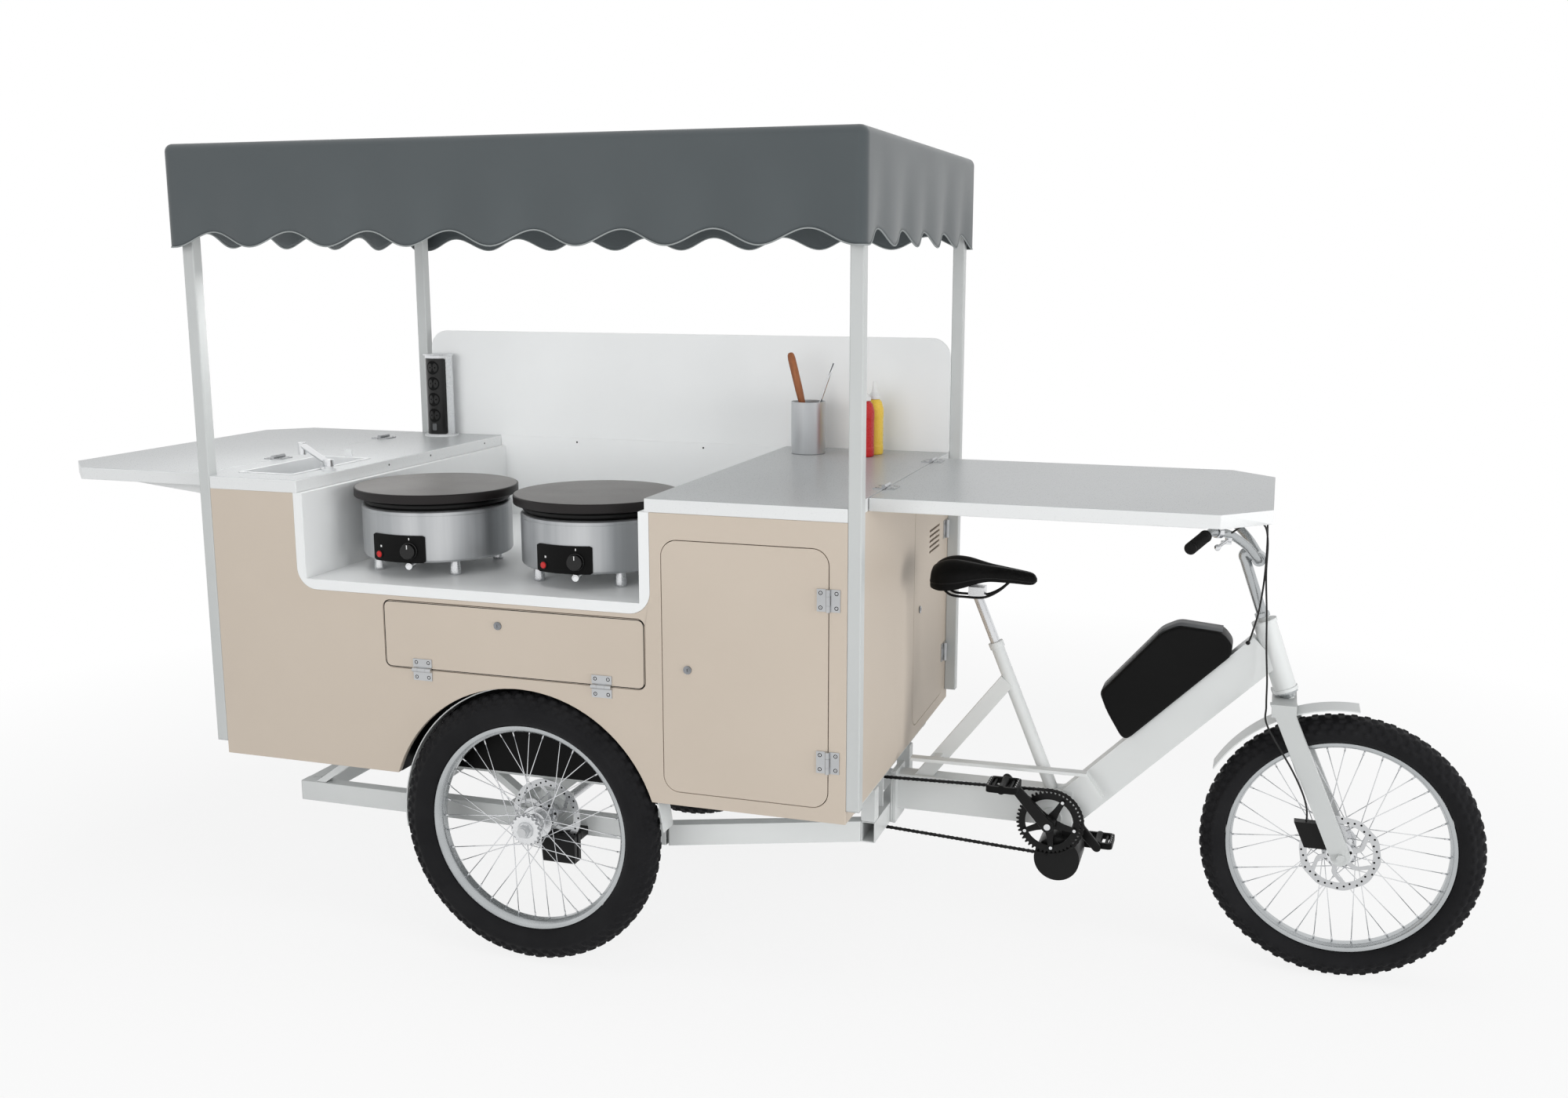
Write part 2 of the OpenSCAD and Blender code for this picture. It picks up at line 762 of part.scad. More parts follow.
// Worktops, sink and power tower
sink_from_end = 214;
sink_x = -bx + sink_from_end;
sink_y = -132;
sink_rim = 8;
sink_sheet = 2;
sink_deep = 140;
sink_mid = sink_x - sink_wid * half;
sink_mid_y = sink_y - sink_long * half;
drain_r = 20;
drain_wall = 2;
tower_from_end = 84;
tower_x = -bx + tower_from_end;
tower_y = 500;
tower_below = 80;
collar_r = 57;
collar_t = 4;
faucet_from_end = 248;
faucet_x = -bx + faucet_from_end;
faucet_y = -398;
faucet_base_r = 20;
faucet_post_r = 13;
faucet_pin_r = 8;
faucet_seat = 12;
faucet_top = 31;
tab_from_end = 122;
tab_x = -bx + tab_from_end;
tab_y = -113;
tab_w = 24;
tab_h = 22;
wedge_ys = [[-505, -480], [480, 505]];
wedge_long = 344;
wedge_far = -bx - wedge_long;
wedge_tip = 9;
wedge_deep = 45;

module counters() {
    color(top_grey) {
        difference() {
            union() {
                slab([-bx, -by, counter_low], [rear_counter_edge, by, counter_top]);
                slab([-bx - rear_overhang, -by + post_w + overrun, counter_low],
                     [-bx + overrun, by - post_w - overrun, counter_top]);
            }
            slab([sink_x - sink_wid + sink_rim - half, sink_y - sink_long + sink_rim - half,
                counter_low - overrun],
                 [sink_x - sink_rim + half, sink_y - sink_rim + half, counter_top + overrun]);
            post(tower_x, tower_y, counter_low - overrun, counter_top + overrun, tower_r + half);
        }
        slab([front_counter_edge, -by, counter_low], [bx, by, counter_top]);
        for (w = wedge_ys)
            side_plate([[-bx, counter_low - clear], [wedge_far, counter_low - clear],
                        [wedge_far, counter_low - wedge_tip], [-bx, counter_low - wedge_deep]], w[0], w[1]);
    }
}

module sink_fittings() {
    color(steel_grey) {
        difference() {
            union() {
                slab([sink_x - sink_wid, sink_y - sink_long, counter_top], [sink_x, sink_y,
                    counter_top + sink_sheet]);
                slab([sink_x - sink_wid + sink_rim, sink_y - sink_long + sink_rim, counter_top - sink_deep],
                     [sink_x - sink_rim, sink_y - sink_rim, counter_top + half]);
                post(sink_mid, sink_mid_y, tank_top, counter_top - sink_deep + half, drain_r);
            }
            slab([sink_x - sink_wid + sink_rim + sink_sheet, sink_y - sink_long + sink_rim + sink_sheet,
                  counter_top - sink_deep + sink_sheet],
                 [sink_x - sink_rim - sink_sheet, sink_y - sink_rim - sink_sheet, counter_top + overrun * 2]);
            post(sink_mid, sink_mid_y, tank_top - overrun, counter_top, drain_r - drain_wall);
        }
        slab([tab_x - tab_w * half, tab_y, counter_top], [tab_x + tab_w * half, tab_y + leaf_t,
            counter_top + tab_h]);
        post(faucet_x, faucet_y, counter_top, counter_top + faucet_seat * half, faucet_base_r);
        post(faucet_x, faucet_y, counter_top + faucet_seat * half - half, counter_top + faucet_seat,
            faucet_post_r);
        post(faucet_x, faucet_y, counter_top + faucet_seat - half, counter_top + faucet_top - leaf_t,
            faucet_pin_r);
        difference() {
            post(tower_x, tower_y, counter_top, counter_top + collar_t, collar_r);
            post(tower_x, tower_y, counter_top - overrun, counter_top + collar_t + overrun, tower_r + clear);
        }
    }
}

tank_top = 900;
tank_in = 36;
tank_wide = 200;
tank_x = [-bx + tank_in, -bx + tank_in + tank_wide];
tank_ys = [[-495, -160], [-130, 205]];
tank_cap_r = 32;
tank_cap_h = 28;
tank_cap_in = 70;

module water_tanks() {
    color(laminate) for (t = tank_ys) {
        slab([tank_x[0], t[0], box_bottom + panel_t], [tank_x[1], t[1], tank_top - clear]);
        post(tank_x[1] - tank_cap_in, t[0] + tank_cap_in, tank_top - overrun, tank_top + tank_cap_h,
            tank_cap_r);
    }
}

spout_rise = 62;
spout_head_rise = [34, 69];
spout_tip = [-805, -340, counter_top + spout_rise];
spout_r = 9;
spout_head_r = 12;
spout_head = [counter_top + spout_head_rise[0], counter_top + spout_head_rise[1]];
sleeve_r = 16;

module faucet_spout() {
    color(steel_grey) difference() {
        union() {
            post(faucet_x, faucet_y, counter_top + faucet_seat + clear, counter_top + faucet_top, sleeve_r);
            rod([faucet_x, faucet_y, counter_top + faucet_seat + spout_r], spout_tip, spout_r);
            post(spout_tip[0], spout_tip[1], spout_head[0], spout_head[1], spout_head_r);
        }
        post(faucet_x, faucet_y, counter_top, counter_top + faucet_top - overrun, faucet_pin_r + run_gap);
    }
}

tower_cap_t = 4;
tower_cap_r = 52;

module power_tower() {
    color(steel_grey) difference() {
        union() {
            post(tower_x, tower_y, counter_top - tower_below, counter_top + tower_high, tower_r);
            post(tower_x, tower_y, counter_top + tower_high - half, counter_top + tower_high + tower_cap_t,
                 tower_cap_r);
        }
        post(tower_x, tower_y, counter_top - tower_below - overrun, counter_top + tower_high - tower_cap_t,
             tower_r - tube_wall);
    }
}

// Roof
cloth_t = 4;
canopy_edge_r = 22;
hem_z = canopy_top - valance_deep;
roof_top = canopy_top - cloth_t - clear;
roof_rail = 30;
roof_low = roof_top - roof_rail;
post_foot = 530;
roof_gap = 2;
roof_side = canopy_wid * half - canopy_edge_r - roof_gap;
roof_end = canopy_len * half - canopy_edge_r - roof_gap;
splash_t = 8;
splash_rear = -903;
splash_corner = 60;
long_waves = 8;
end_waves = 5;
wave_steps = 6;

module roof_frame() {
    color(steel_white) {
        for (sx = both(), sy = both()) {
            x0 = sx > 0 ? bx : -bx - post_w;
            y0 = sy > 0 ? by - post_w : -by;
            difference() {
                slab([x0, y0, post_foot], [x0 + post_w, y0 + post_w, roof_low - weld_gap]);
                slab([x0 + tube_wall, y0 + tube_wall, post_foot - overrun],
                     [x0 + post_w - tube_wall, y0 + post_w - tube_wall, roof_low + overrun]);
            }
        }
        for (s = both()) {
            x0 = s > 0 ? roof_end - roof_rail : -roof_end;
            hollow_y([x0, -roof_side, roof_low], [x0 + roof_rail, roof_side, roof_top]);
            y0 = s > 0 ? roof_side - roof_rail : -roof_side;
            hollow_x([-roof_end + roof_rail + weld_gap, y0, roof_low],
                     [roof_end - roof_rail - weld_gap, y0 + roof_rail, roof_top]);
        }
        hollow_y([-roof_rail * half, -roof_side + roof_rail + weld_gap, roof_low],
                 [roof_rail * half, roof_side - roof_rail - weld_gap, roof_top]);
    }
}

function hem_wave(span, waves) =
    let (n = waves * wave_steps)
    [for (i = [0 : n]) [-span * half + span * i / n,
        hem_z + hem_rise * half * (1 - cos(360 * i / wave_steps))]];
function below_hem(span, waves) =
    concat(hem_wave(span, waves), [[span, hem_z], [span, -span], [-span, -span], [-span, hem_z]]);

// Cap with round upper edges, drawn in by t on every side
module canopy_cap(t) {
    intersection() {
        round_plate(-canopy_len * half + t, canopy_len * half - t, hem_z - canopy_edge_r * 2 - t,
            canopy_top - t,
                    canopy_edge_r - t, -canopy_wid, canopy_wid);
        round_front(-canopy_wid * half + t, canopy_wid * half - t, hem_z - canopy_edge_r * 2 - t,
            canopy_top - t,
                    canopy_edge_r - t, -canopy_len, canopy_len);
    }
}

module canopy() {
    color(slate) difference() {
        canopy_cap(0);
        canopy_cap(cloth_t);
        side_plate(below_hem(canopy_len, long_waves), -canopy_wid, canopy_wid);
        translate([shift_x - canopy_len, 0, 0]) rotate([90, 0, 90])
            linear_extrude(height = 2 * canopy_len) polygon(below_hem(canopy_wid, end_waves));
    }
}

module backsplash() {
    y1 = by - post_w - clear;
    z1 = counter_top + splash_high;
    color(laminate) {
        slab([splash_rear, y1 - splash_t, counter_top], [bx, y1, z1 - splash_corner]);
        slab([splash_rear + splash_corner, y1 - splash_t, z1 - splash_corner - half],
            [bx - splash_corner, y1, z1]);
        for (x = [splash_rear + splash_corner, bx - splash_corner])
            cross_rod(x, z1 - splash_corner, y1 - splash_t, y1, splash_corner);
    }
}

// Griddles
foot_h = 43;
foot_r = [16, 12];
foot_at = 122;
drum_low = recess_floor + foot_h;
drum_h = 143;
drum_high = drum_low + drum_h;
drum_wall = 2;
lip_r = 186;
ring_low_r = [188, 198];
ring_h = 22;
dash_turn = -114;
dash_arc = 45;
dash_t = 5;
dash_z = [1071, 1147];
knob_turn = -81;
knob_z = 1105;
knob_r = 24;
knob_h = 17;
lamp_turn = -107;
lamp_z = 1090;
lamp_r = 10;
lamp_h = 7;
stud_r = 8;
stud_in = 20;
stud_sink = 0.6;
stud_long = 28;
stud_nut_r = 10;
stud_nut_t = 6;
knob_back = drum_r + dash_t + clear;

module griddle_house(x) {
    difference() {
        post(x, griddle_y, drum_low, drum_high, drum_r);
        post(x, griddle_y, drum_low + drum_wall, drum_high - drum_wall, drum_r - drum_wall);
        post(x, griddle_y, drum_high - drum_wall - half, drum_high + overrun, lip_r);
    }
    for (sx = both(), sy = both())
        translate([shift_x + x + sx * foot_at, griddle_y + sy * foot_at, recess_floor])
            cylinder(r1 = foot_r[0], r2 = foot_r[1], h = foot_h);
    translate([shift_x + x, griddle_y, dash_z[0]]) rotate([0, 0, dash_turn]) rotate_extrude(angle = dash_arc)
        translate([drum_r + clear, 0]) square([dash_t - clear, dash_z[1] - dash_z[0]]);
    translate([shift_x + x, griddle_y, lamp_z]) rotate([0, 0, lamp_turn])
        translate([drum_r + dash_t + clear, 0, 0])
        rotate([0, 90, 0]) cylinder(r = lamp_r, h = lamp_h);
    translate([shift_x + x, griddle_y, drum_low + stud_sink - stud_r]) rotate([0, 0, knob_turn])
        translate([drum_r - stud_in, 0, 0]) rotate([0, 90, 0]) {
            cylinder(r = stud_r, h = stud_long);
            translate([0, 0, stud_long - half]) cylinder(r = stud_nut_r, h = stud_nut_t, $fn = 6);
        }
}

module griddle_housings() {
    color(steel_grey) for (x = [griddle_rear_x, griddle_front_x]) griddle_house(x);
}

module griddle_plates() {
    color(black) for (x = [griddle_rear_x, griddle_front_x]) {
        post(x, griddle_y, drum_high + ring_h, drum_high + ring_h + plate_t, plate_r);
        difference() {
            post(x, griddle_y, drum_high, drum_high + ring_h + half, ring_low_r[1]);
            post(x, griddle_y, drum_high - overrun, drum_high + ring_h + half, ring_low_r[0]);
        }
    }
}

module griddle_knob(x) {
    color(black) translate([shift_x + x, griddle_y, knob_z]) rotate([0, 0, knob_turn])
        translate([knob_back, 0, 0]) rotate([0, 90, 0]) cylinder(r = knob_r, h = knob_h);
}

module griddle_knob_rear() {
    griddle_knob(griddle_rear_x);
}

module griddle_knob_front() {
    griddle_knob(griddle_front_x);
}

// Counter ware
cup_at = [512, 410];
cup_h = 163;
cup_wall = 1.5;
spatula_foot = [528, 402, 1322];
spatula_top = [455, 402, 1612];
handle_r = 13;
handle_share = 0.42;
blade_t = 2;
blade_w = 44;
blade_h = 90;
stick_foot = [492, 428, 1304];
stick_top = [588, 428, 1580];
stick_r = 4;
bottles_at = [[700, 385], [712, 452]];
bottle_shares = [[0, 0], [1, 0], [1, 0.84], [0.75, 1], [0.55, 1]];
bottle_body = 170;
nozzle_h = 57;
nozzle_r = [17, 4];

module counter_ware() {
    color(steel_grey) {
        difference() {
            post(cup_at[0], cup_at[1], counter_top, counter_top + cup_h, cup_r);
            post(cup_at[0], cup_at[1], counter_top + cup_wall, counter_top + cup_h + overrun,
                cup_r - cup_wall);
        }
        slab([spatula_foot[0] - blade_w * half, spatula_foot[1] - blade_t, counter_top + cup_wall + overrun],
             [spatula_foot[0] + blade_w * half - handle_r, spatula_foot[1], counter_top + blade_h]);
        rod(spatula_foot, spatula_foot + (spatula_top - spatula_foot) * handle_share, stick_r);
        rod(stick_foot, stick_top, stick_r);
    }
    color(wood_brown)
        rod(spatula_foot + (spatula_top - spatula_foot) * (handle_share - overrun / cup_h),
            spatula_top, handle_r, $fn = 8);
    color([0.75, 0.08, 0.05]) for (b = bottles_at) {
        translate([shift_x + b[0], b[1], counter_top]) rotate_extrude()
            polygon(concat([for (p = bottle_shares) [p[0] * bottle_r, p[1] * bottle_body]], [[0,
                bottle_body]]));
        translate([shift_x + b[0], b[1], counter_top + bottle_body])
            cylinder(r1 = nozzle_r[0], r2 = nozzle_r[1], h = nozzle_h);
    }
}

// Doors, tables and their hinges
module hinge_leaves() {
    color(steel_grey) {
        on_side() leaf_fixed();
        on_drop() leaf_fixed();
        on_front() leaf_fixed();
        on_rear_table() leaf_fixed();
        on_front_table() leaf_fixed();
    }
}

lock_bore = lock_barrel_r + clear;

module side_door() {
    color(board_beige) difference() {
        round_plate(side_rear, side_front, door_low, door_low + door_high, door_corner, -by, -in_y);
        cross_rod(side_lock_x, side_lock_z, -by - overrun, -in_y + overrun, lock_bore);
    }
}

module side_door_hinges() {
    color(steel_grey) on_side() leaf_moving();
}

module side_door_lock() {
    color(steel_grey) translate([shift_x + side_lock_x, -by, side_lock_z]) rotate([90, 0, 0])
        cam_lock(side_lock_x - side_rear + cam_slack);
}

module drop_door() {
    color(board_beige) difference() {
        round_plate(-drop_wid * half, drop_wid * half, drop_low, drop_low + drop_high,
            door_corner * half, -by, -in_y);
        cross_rod(drop_lock_x, drop_lock_z, -by - overrun, -in_y + overrun, lock_bore);
    }
}

module drop_door_hinges() {
    color(steel_grey) on_drop() leaf_moving();
}

module drop_door_lock() {
    color(steel_grey) translate([shift_x + drop_lock_x, -by, drop_lock_z]) rotate([90, 0, 0])
        rotate([0, 0, -90]) cam_lock(drop_low + drop_high - drop_lock_z + cam_slack * half);
}

louvre_y = [312, 452];
louvre_low = 1022;
louvre_step = 16;
louvre_count = 5;
louvre_h = 7;

module front_door() {
    color(board_beige) difference() {
        round_front(front_near, front_far, door_low, door_low + door_high, door_corner, in_x, bx);
        translate([shift_x + in_x - overrun, front_lock_y, front_lock_z]) rotate([0, 90, 0])
            cylinder(r = lock_bore, h = panel_t + 2 * overrun);
        for (k = [0 : louvre_count - 1]) {
            z = louvre_low + k * louvre_step;
            slab([in_x - overrun, louvre_y[0], z], [bx + overrun, louvre_y[1], z + louvre_h]);
        }
    }
}

module front_door_hinges() {
    color(steel_grey) on_front() leaf_moving();
}

module front_door_lock() {
    color(steel_grey) translate([shift_x + bx, front_lock_y, front_lock_z]) rotate([0, 0, 90])
        rotate([90, 0, 0])
        cam_lock(front_lock_y - front_near + cam_slack);
}

module table_top(x0, x1, w) {
    translate([shift_x, 0, counter_low]) linear_extrude(height = counter_t) {
        c = sign(x1 - x0) * table_chamfer;
        polygon([[x0, -w * half], [x1 - c, -w * half], [x1, -w * half + table_chamfer],
                 [x1, w * half - table_chamfer], [x1 - c, w * half], [x0, w * half]]);
    }
}

module rear_table() {
    color(top_grey) table_top(-bx - rear_overhang - 2 * clear, -bx - rear_overhang - rear_table_len,
        rear_table_wid);
}

module rear_table_hinges() {
    color(steel_grey) on_rear_table() leaf_moving();
}

module front_table() {
    color(top_grey) table_top(front_line, front_line + front_table_len, front_table_wid);
}

module front_table_hinges() {
    color(steel_grey) on_front_table() leaf_moving();
}

// Steering
crown_top = 756;
crown_low = 722;
crown_ahead = [1004, 1066];
crown_x = ahead_pair(crown_ahead);
leg_in = 63;
leg_out = 88;
leg_half = 24.5;
leg_top_ahead = [1026, 756];
leg_top = ahead(leg_top_ahead);
leg_lean = atan2(front_axle_x - leg_top[0], leg_top[1] - front_tyre_r);
leg_wide = leg_half / cos(leg_lean);
front_axle_r = 6;
front_axle_half = 100;
nut_r = 11;
crown_gap = 3;
steerer_up = 8;
stem_r = 14;
stem_up = 190;
clamp_at_ahead = [950, 0, 1124];
clamp_at = ahead_xyz(clamp_at_ahead);
clamp_r = 18;
clamp_half = 22;
clamp_gap = 1;
clamp_reach = 15;
bar_back = 160;
bar_half = 306;
bar_rise = 90;
bar_shares = [[0, 0, 0], [0, 0.059, 0], [0, 0.105, 0.011], [0.056, 0.15, 0.156], [0.206, 0.216, 0.489],
              [0.475, 0.353, 0.867], [0.7, 0.523, 1], [0.8, 0.654, 0.978], [1, 1, 0.8]];
bar_points = [for (s = bar_shares) clamp_at + [-bar_back * s[0], bar_half * s[1], bar_rise * s[2]]];
bar_steps = 4;
bar_sides = 14;
grip_from_ahead = [820, 206, 1211];
grip_from = ahead_xyz(grip_from_ahead);
grip_to_ahead = [788, 312, 1195];
grip_to = ahead_xyz(grip_to_ahead);
grip_over_share = 0.1;
grip_end_share = 0.03;
perch_at_ahead = [850, 146, 1206];
perch_at = ahead_xyz(perch_at_ahead);
pivot_at_ahead = [874, 148, 1196];
pivot_at = ahead_xyz(pivot_at_ahead);
pivot_r = 4;
perch_w = 16;
lever_t = 9;
lever_end_ahead = [852, 262, 1194];
lever_end = ahead_xyz(lever_end_ahead);
lever_ball_r = 8;

module fork() {
    color(steel_white) {
        for (s = both()) mirror([0, (1 - s) * half, 0]) {
            side_plate([[leg_top[0] - leg_wide, leg_top[1]], [leg_top[0] + leg_wide, leg_top[1]],
                        [front_axle_x + leg_wide, front_tyre_r], [front_axle_x - leg_wide, front_tyre_r]],
                       leg_in, leg_out);
            cross_rod(front_axle_x, front_tyre_r, leg_in, leg_out, leg_half);
            cross_rod(front_axle_x, front_tyre_r, leg_out - half, front_axle_half, nut_r, $fn = 6);
        }
        slab([crown_x[0], -leg_out, crown_low], [crown_x[1], leg_out, crown_top]);
        rod(head_at(-2 * seat_r), head_at(head_long + steerer_up), steerer_r);
        rod(head_at(-2 * crown_gap), head_at(-clear), head_r);
        cross_rod(front_axle_x, front_tyre_r, -leg_out, leg_out, front_axle_r);
    }
}

module mirrored_bar(points) {
    left = curve(points, bar_steps);
    n = len(left);
    swept(concat([for (i = [n - 1 : -1 : 1]) [left[i][0], -left[i][1], left[i][2]]], left), bar_r,
        bar_sides, [0.4, 0, 1]);
}

module handlebar() {
    color(steel_grey) {
        top = head_at(head_long + stem_up);
        elbow = head_at(head_long + stem_up - stem_r);
        difference() {
            union() {
                rod(head_at(head_long + steerer_up), top, stem_r);
                rod(elbow, clamp_at - unit(clamp_at - elbow) * clamp_reach, stem_r);
                cross_rod(clamp_at[0], clamp_at[2], -clamp_half, clamp_half, clamp_r);
            }
            cross_rod(clamp_at[0], clamp_at[2], -clamp_half - overrun, clamp_half + overrun,
                bar_r + clamp_gap);
        }
        mirrored_bar(bar_points);
        for (s = both()) mirror([0, (1 - s) * half, 0])
            difference() {
                slab([perch_at[0] + bar_r * half, perch_at[1] - perch_w * half, perch_at[2] - perch_w],
                     [pivot_at[0] + pivot_r * 2, perch_at[1] + perch_w * half,
                         perch_at[2] - perch_w + lever_t]);
                slab([pivot_at[0] - lever_t, perch_at[1] - perch_w, pivot_at[2] - lever_t * half],
                     [pivot_at[0] + perch_w, perch_at[1] + perch_w, pivot_at[2] + lever_t]);
            }
    }
}

module grips() {
    color(black) for (s = both()) mirror([0, (1 - s) * half, 0]) difference() {
        rod(grip_from, grip_to, grip_r);
        rod(grip_from - (grip_to - grip_from) * grip_over_share, grip_to - (grip_to - grip_from)
            * grip_end_share,
            bar_r + half);
    }
}

module lever() {
    post(pivot_at[0], pivot_at[1], pivot_at[2] - lever_t * half + clear, pivot_at[2] + lever_t * half,
        lever_t);
    rod(pivot_at, lever_end, lever_t * half - clear);
    translate([shift_x, 0, 0] + lever_end) sphere(r = lever_ball_r);
}

module brake_lever_left() {
    color(steel_grey) lever();
}

module brake_lever_right() {
    color(steel_grey) mirror([0, 1, 0]) lever();
}

cable_r = 2.5;
cable_steps = 5;
cable_sides = 8;
front_cable = [[1806, -132, 1210], [1846, -96, 1232], [1882, -56, 1224], [1895, -44, 1180], [1896, -42, 1090],
               [1903, -44, 990], [1908, -48, 890], [1914, -56, 812], [1916, -84, 750], [1922, -98, 700],
               [1988, -98, 590], [2018, -98, 530], [2030, -90, 492], [2034, -70, 462], [2034, -66, 441]];
rear_cable = [[1806, 132, 1210], [1850, 92, 1234], [1886, 30, 1230], [1893, -22, 1200], [1894, -34, 1130],
              [1891, -36, 1060], [1883, -40, 990], [1872, -38, 940], [1866, -34, 916],
              [1860.5, -30, 901.5]];

module brake_cables() {
    color(black) {
        swept(curve(front_cable, cable_steps), cable_r, cable_sides, [0.2, 1, 0.1]);
        swept(curve(rear_cable, cable_steps), cable_r, cable_sides, [1, 0.1, 0.1]);
    }
}

mud_r = 381;
mud_half = 42;
mud_arc = [86, 150];
mud_pad_ahead = [1024, 1050];
mud_pad_x = ahead_pair(mud_pad_ahead);
mud_pad_low = 690;

module front_mudguard() {
    color(steel_white) {
        translate([shift_x + front_axle_x, mud_half, front_tyre_r]) rotate([90, 0, 0]) rotate([0, 0,
            mud_arc[0]])
            rotate_extrude(angle = mud_arc[1] - mud_arc[0])
                translate([mud_r, 0]) square([guard_t, 2 * mud_half]);
        difference() {
            slab([mud_pad_x[0], -cam_w, mud_pad_low], [mud_pad_x[1], cam_w, crown_low - clear]);
            cross_rod(front_axle_x, front_tyre_r, -mud_half, mud_half, mud_r + half);
        }
    }
}

front_disc_out = 59.3;
front_caliper_y = [-76, -46];
front_caliper_z = [372, 440];
front_caliper_deep = 58;

function leg_back(z) = front_axle_x - (z - front_tyre_r) * tan(leg_lean) - leg_wide - clear;

module front_caliper() {
    color(black) difference() {
        side_plate([[leg_back(front_caliper_z[0]) - front_caliper_deep, front_caliper_z[0]],
                    [leg_back(front_caliper_z[0]), front_caliper_z[0]],
                    [leg_back(front_caliper_z[1]), front_caliper_z[1]],
                    [leg_back(front_caliper_z[1]) - front_caliper_deep, front_caliper_z[1]]],
                   front_caliper_y[0], front_caliper_y[1]);
        cross_rod(front_axle_x, front_tyre_r, -front_disc_out - caliper_slot,
                  -front_disc_out + disc_t + caliper_slot, disc_r + overrun);
    }
}

// Wheels: middle planes across Y, turned about the axle
tyre_t = 7;
bead_half = 14;
front_tread = 10;
rim_half = 25;
rim_deep = 14;
rim_sheet = 5;
spoke_r = 1.3;
spoke_lead = 62;
disc_in_r = 30;
window_r = 11;
window_at = 52;
window_count = 6;
hub_r = 22;
flange_r = 45;
hub_flange_t = 4;
front_flange_y = 36;
front_hub_half = 62.6;
rear_hub_in = 486;
rear_hub_out = 618;
rear_flanges = [550, 608];

module turned(x, z, y) {
    translate([shift_x + x, y, z]) rotate([90, 0, 0]) children();
}

module tyre(x, z, y, r, section, tread) {
    turned(x, z, y) rotate_extrude() translate([r - section, 0]) difference() {
        union() {
            for (s = both()) translate([0, s * tread]) circle(r = section);
            translate([-section, -tread - half]) square([2 * section, 2 * tread + 2 * half]);
        }
        for (s = both()) translate([0, s * tread]) circle(r = section - tyre_t);
        translate([-section - overrun, -bead_half]) square([section + overrun + tread, 2 * bead_half]);
    }
}

// Radius at which the rim's edge meets the tyre's round
function rim_top(r, section, tread) =
    r - section - sqrt(section * section - (rim_half - tread) * (rim_half - tread)) - clear * 2;

module rim(x, z, y, r, section, tread) {
    top = rim_top(r, section, tread);
    floor = r - 2 * section - clear * 2;
    turned(x, z, y) rotate_extrude() polygon([
        [top, -rim_half], [floor, -rim_half * half], [floor, rim_half * half], [top, rim_half],
        [top - rim_sheet * 2, rim_half], [floor - rim_deep, rim_half * half],
        [floor - rim_deep, -rim_half * half], [top - rim_sheet * 2, -rim_half]]);
}

module spokes(x, z, y, y_flanges, r_rim) {
    for (k = [0 : spoke_count - 1]) {
        far = k % 2;
        turn = 360 * k / spoke_count;
        lead = (floor(k / 2) % 2 == 0 ? 1 : -1) * spoke_lead;
        a = turn + lead;
        start = flange_r - hub_flange_t * half;
        y0 = y_flanges[far] + (far == 0 ? -1 : 1) * (spoke_r + hub_flange_t * half + clear);
        y1 = y + (far == 0 ? -1 : 1) * spoke_r * 3;
        rod([x + start * cos(a), y0, z + start * sin(a)],
            [x + (r_rim - clear * 4) * cos(turn), y1, z + (r_rim - clear * 4) * sin(turn)], spoke_r);
    }
}

module disc(x, z, y0, y1) {
    difference() {
        cross_rod(x, z, y0, y1, disc_r);
        cross_rod(x, z, y0 - overrun, y1 + overrun, disc_in_r);
        for (k = [0 : window_count - 1])
            cross_rod(x + window_at * cos(360 * k / window_count),
                z + window_at * sin(360 * k / window_count),
                      y0 - overrun, y1 + overrun, window_r);
    }
}

module front_tyre() {
    color(rubber_black) tyre(front_axle_x, front_tyre_r, 0, front_tyre_r, front_section_r, front_tread);
}

module front_wheel() {
    color(steel_grey) {
        rim(front_axle_x, front_tyre_r, 0, front_tyre_r, front_section_r, front_tread);
        difference() {
            union() {
                cross_rod(front_axle_x, front_tyre_r, -front_hub_half, front_hub_half, hub_r);
                for (s = both())
                    cross_rod(front_axle_x, front_tyre_r, s * front_flange_y - hub_flange_t * half,
                              s * front_flange_y + hub_flange_t * half, flange_r);
                cross_rod(front_axle_x, front_tyre_r, -front_disc_out + disc_t + clear, -front_flange_y,
                          disc_in_r + hub_flange_t);
            }
            cross_rod(front_axle_x, front_tyre_r, -front_hub_half - overrun, front_hub_half + overrun,
                      front_axle_r + run_gap);
        }
        disc(front_axle_x, front_tyre_r, -front_disc_out, -front_disc_out + disc_t);
        spokes(front_axle_x, front_tyre_r, 0, [-front_flange_y, front_flange_y],
               front_tyre_r - 2 * front_section_r - rim_deep);
    }
}

sprocket_r = 35;
sprocket_y = [-72, -68];
axle_nut_r = 17;

module rear_axle() {
    color(steel_grey) {
        cross_rod(rear_axle_x, axle_z, -axle_end, axle_end, axle_r);
        cross_rod(rear_axle_x, axle_z, sprocket_y[0], sprocket_y[1], sprocket_r);
        for (s = both()) mirror([0, (1 - s) * half, 0]) {
            cross_rod(rear_axle_x, axle_z, rear_hub_out + clear, axle_end - leaf_t, axle_nut_r, $fn = 6);
            cross_rod(rear_axle_x, axle_z, boss_out + clear * 2, rear_hub_in - clear, axle_nut_r);
        }
    }
}

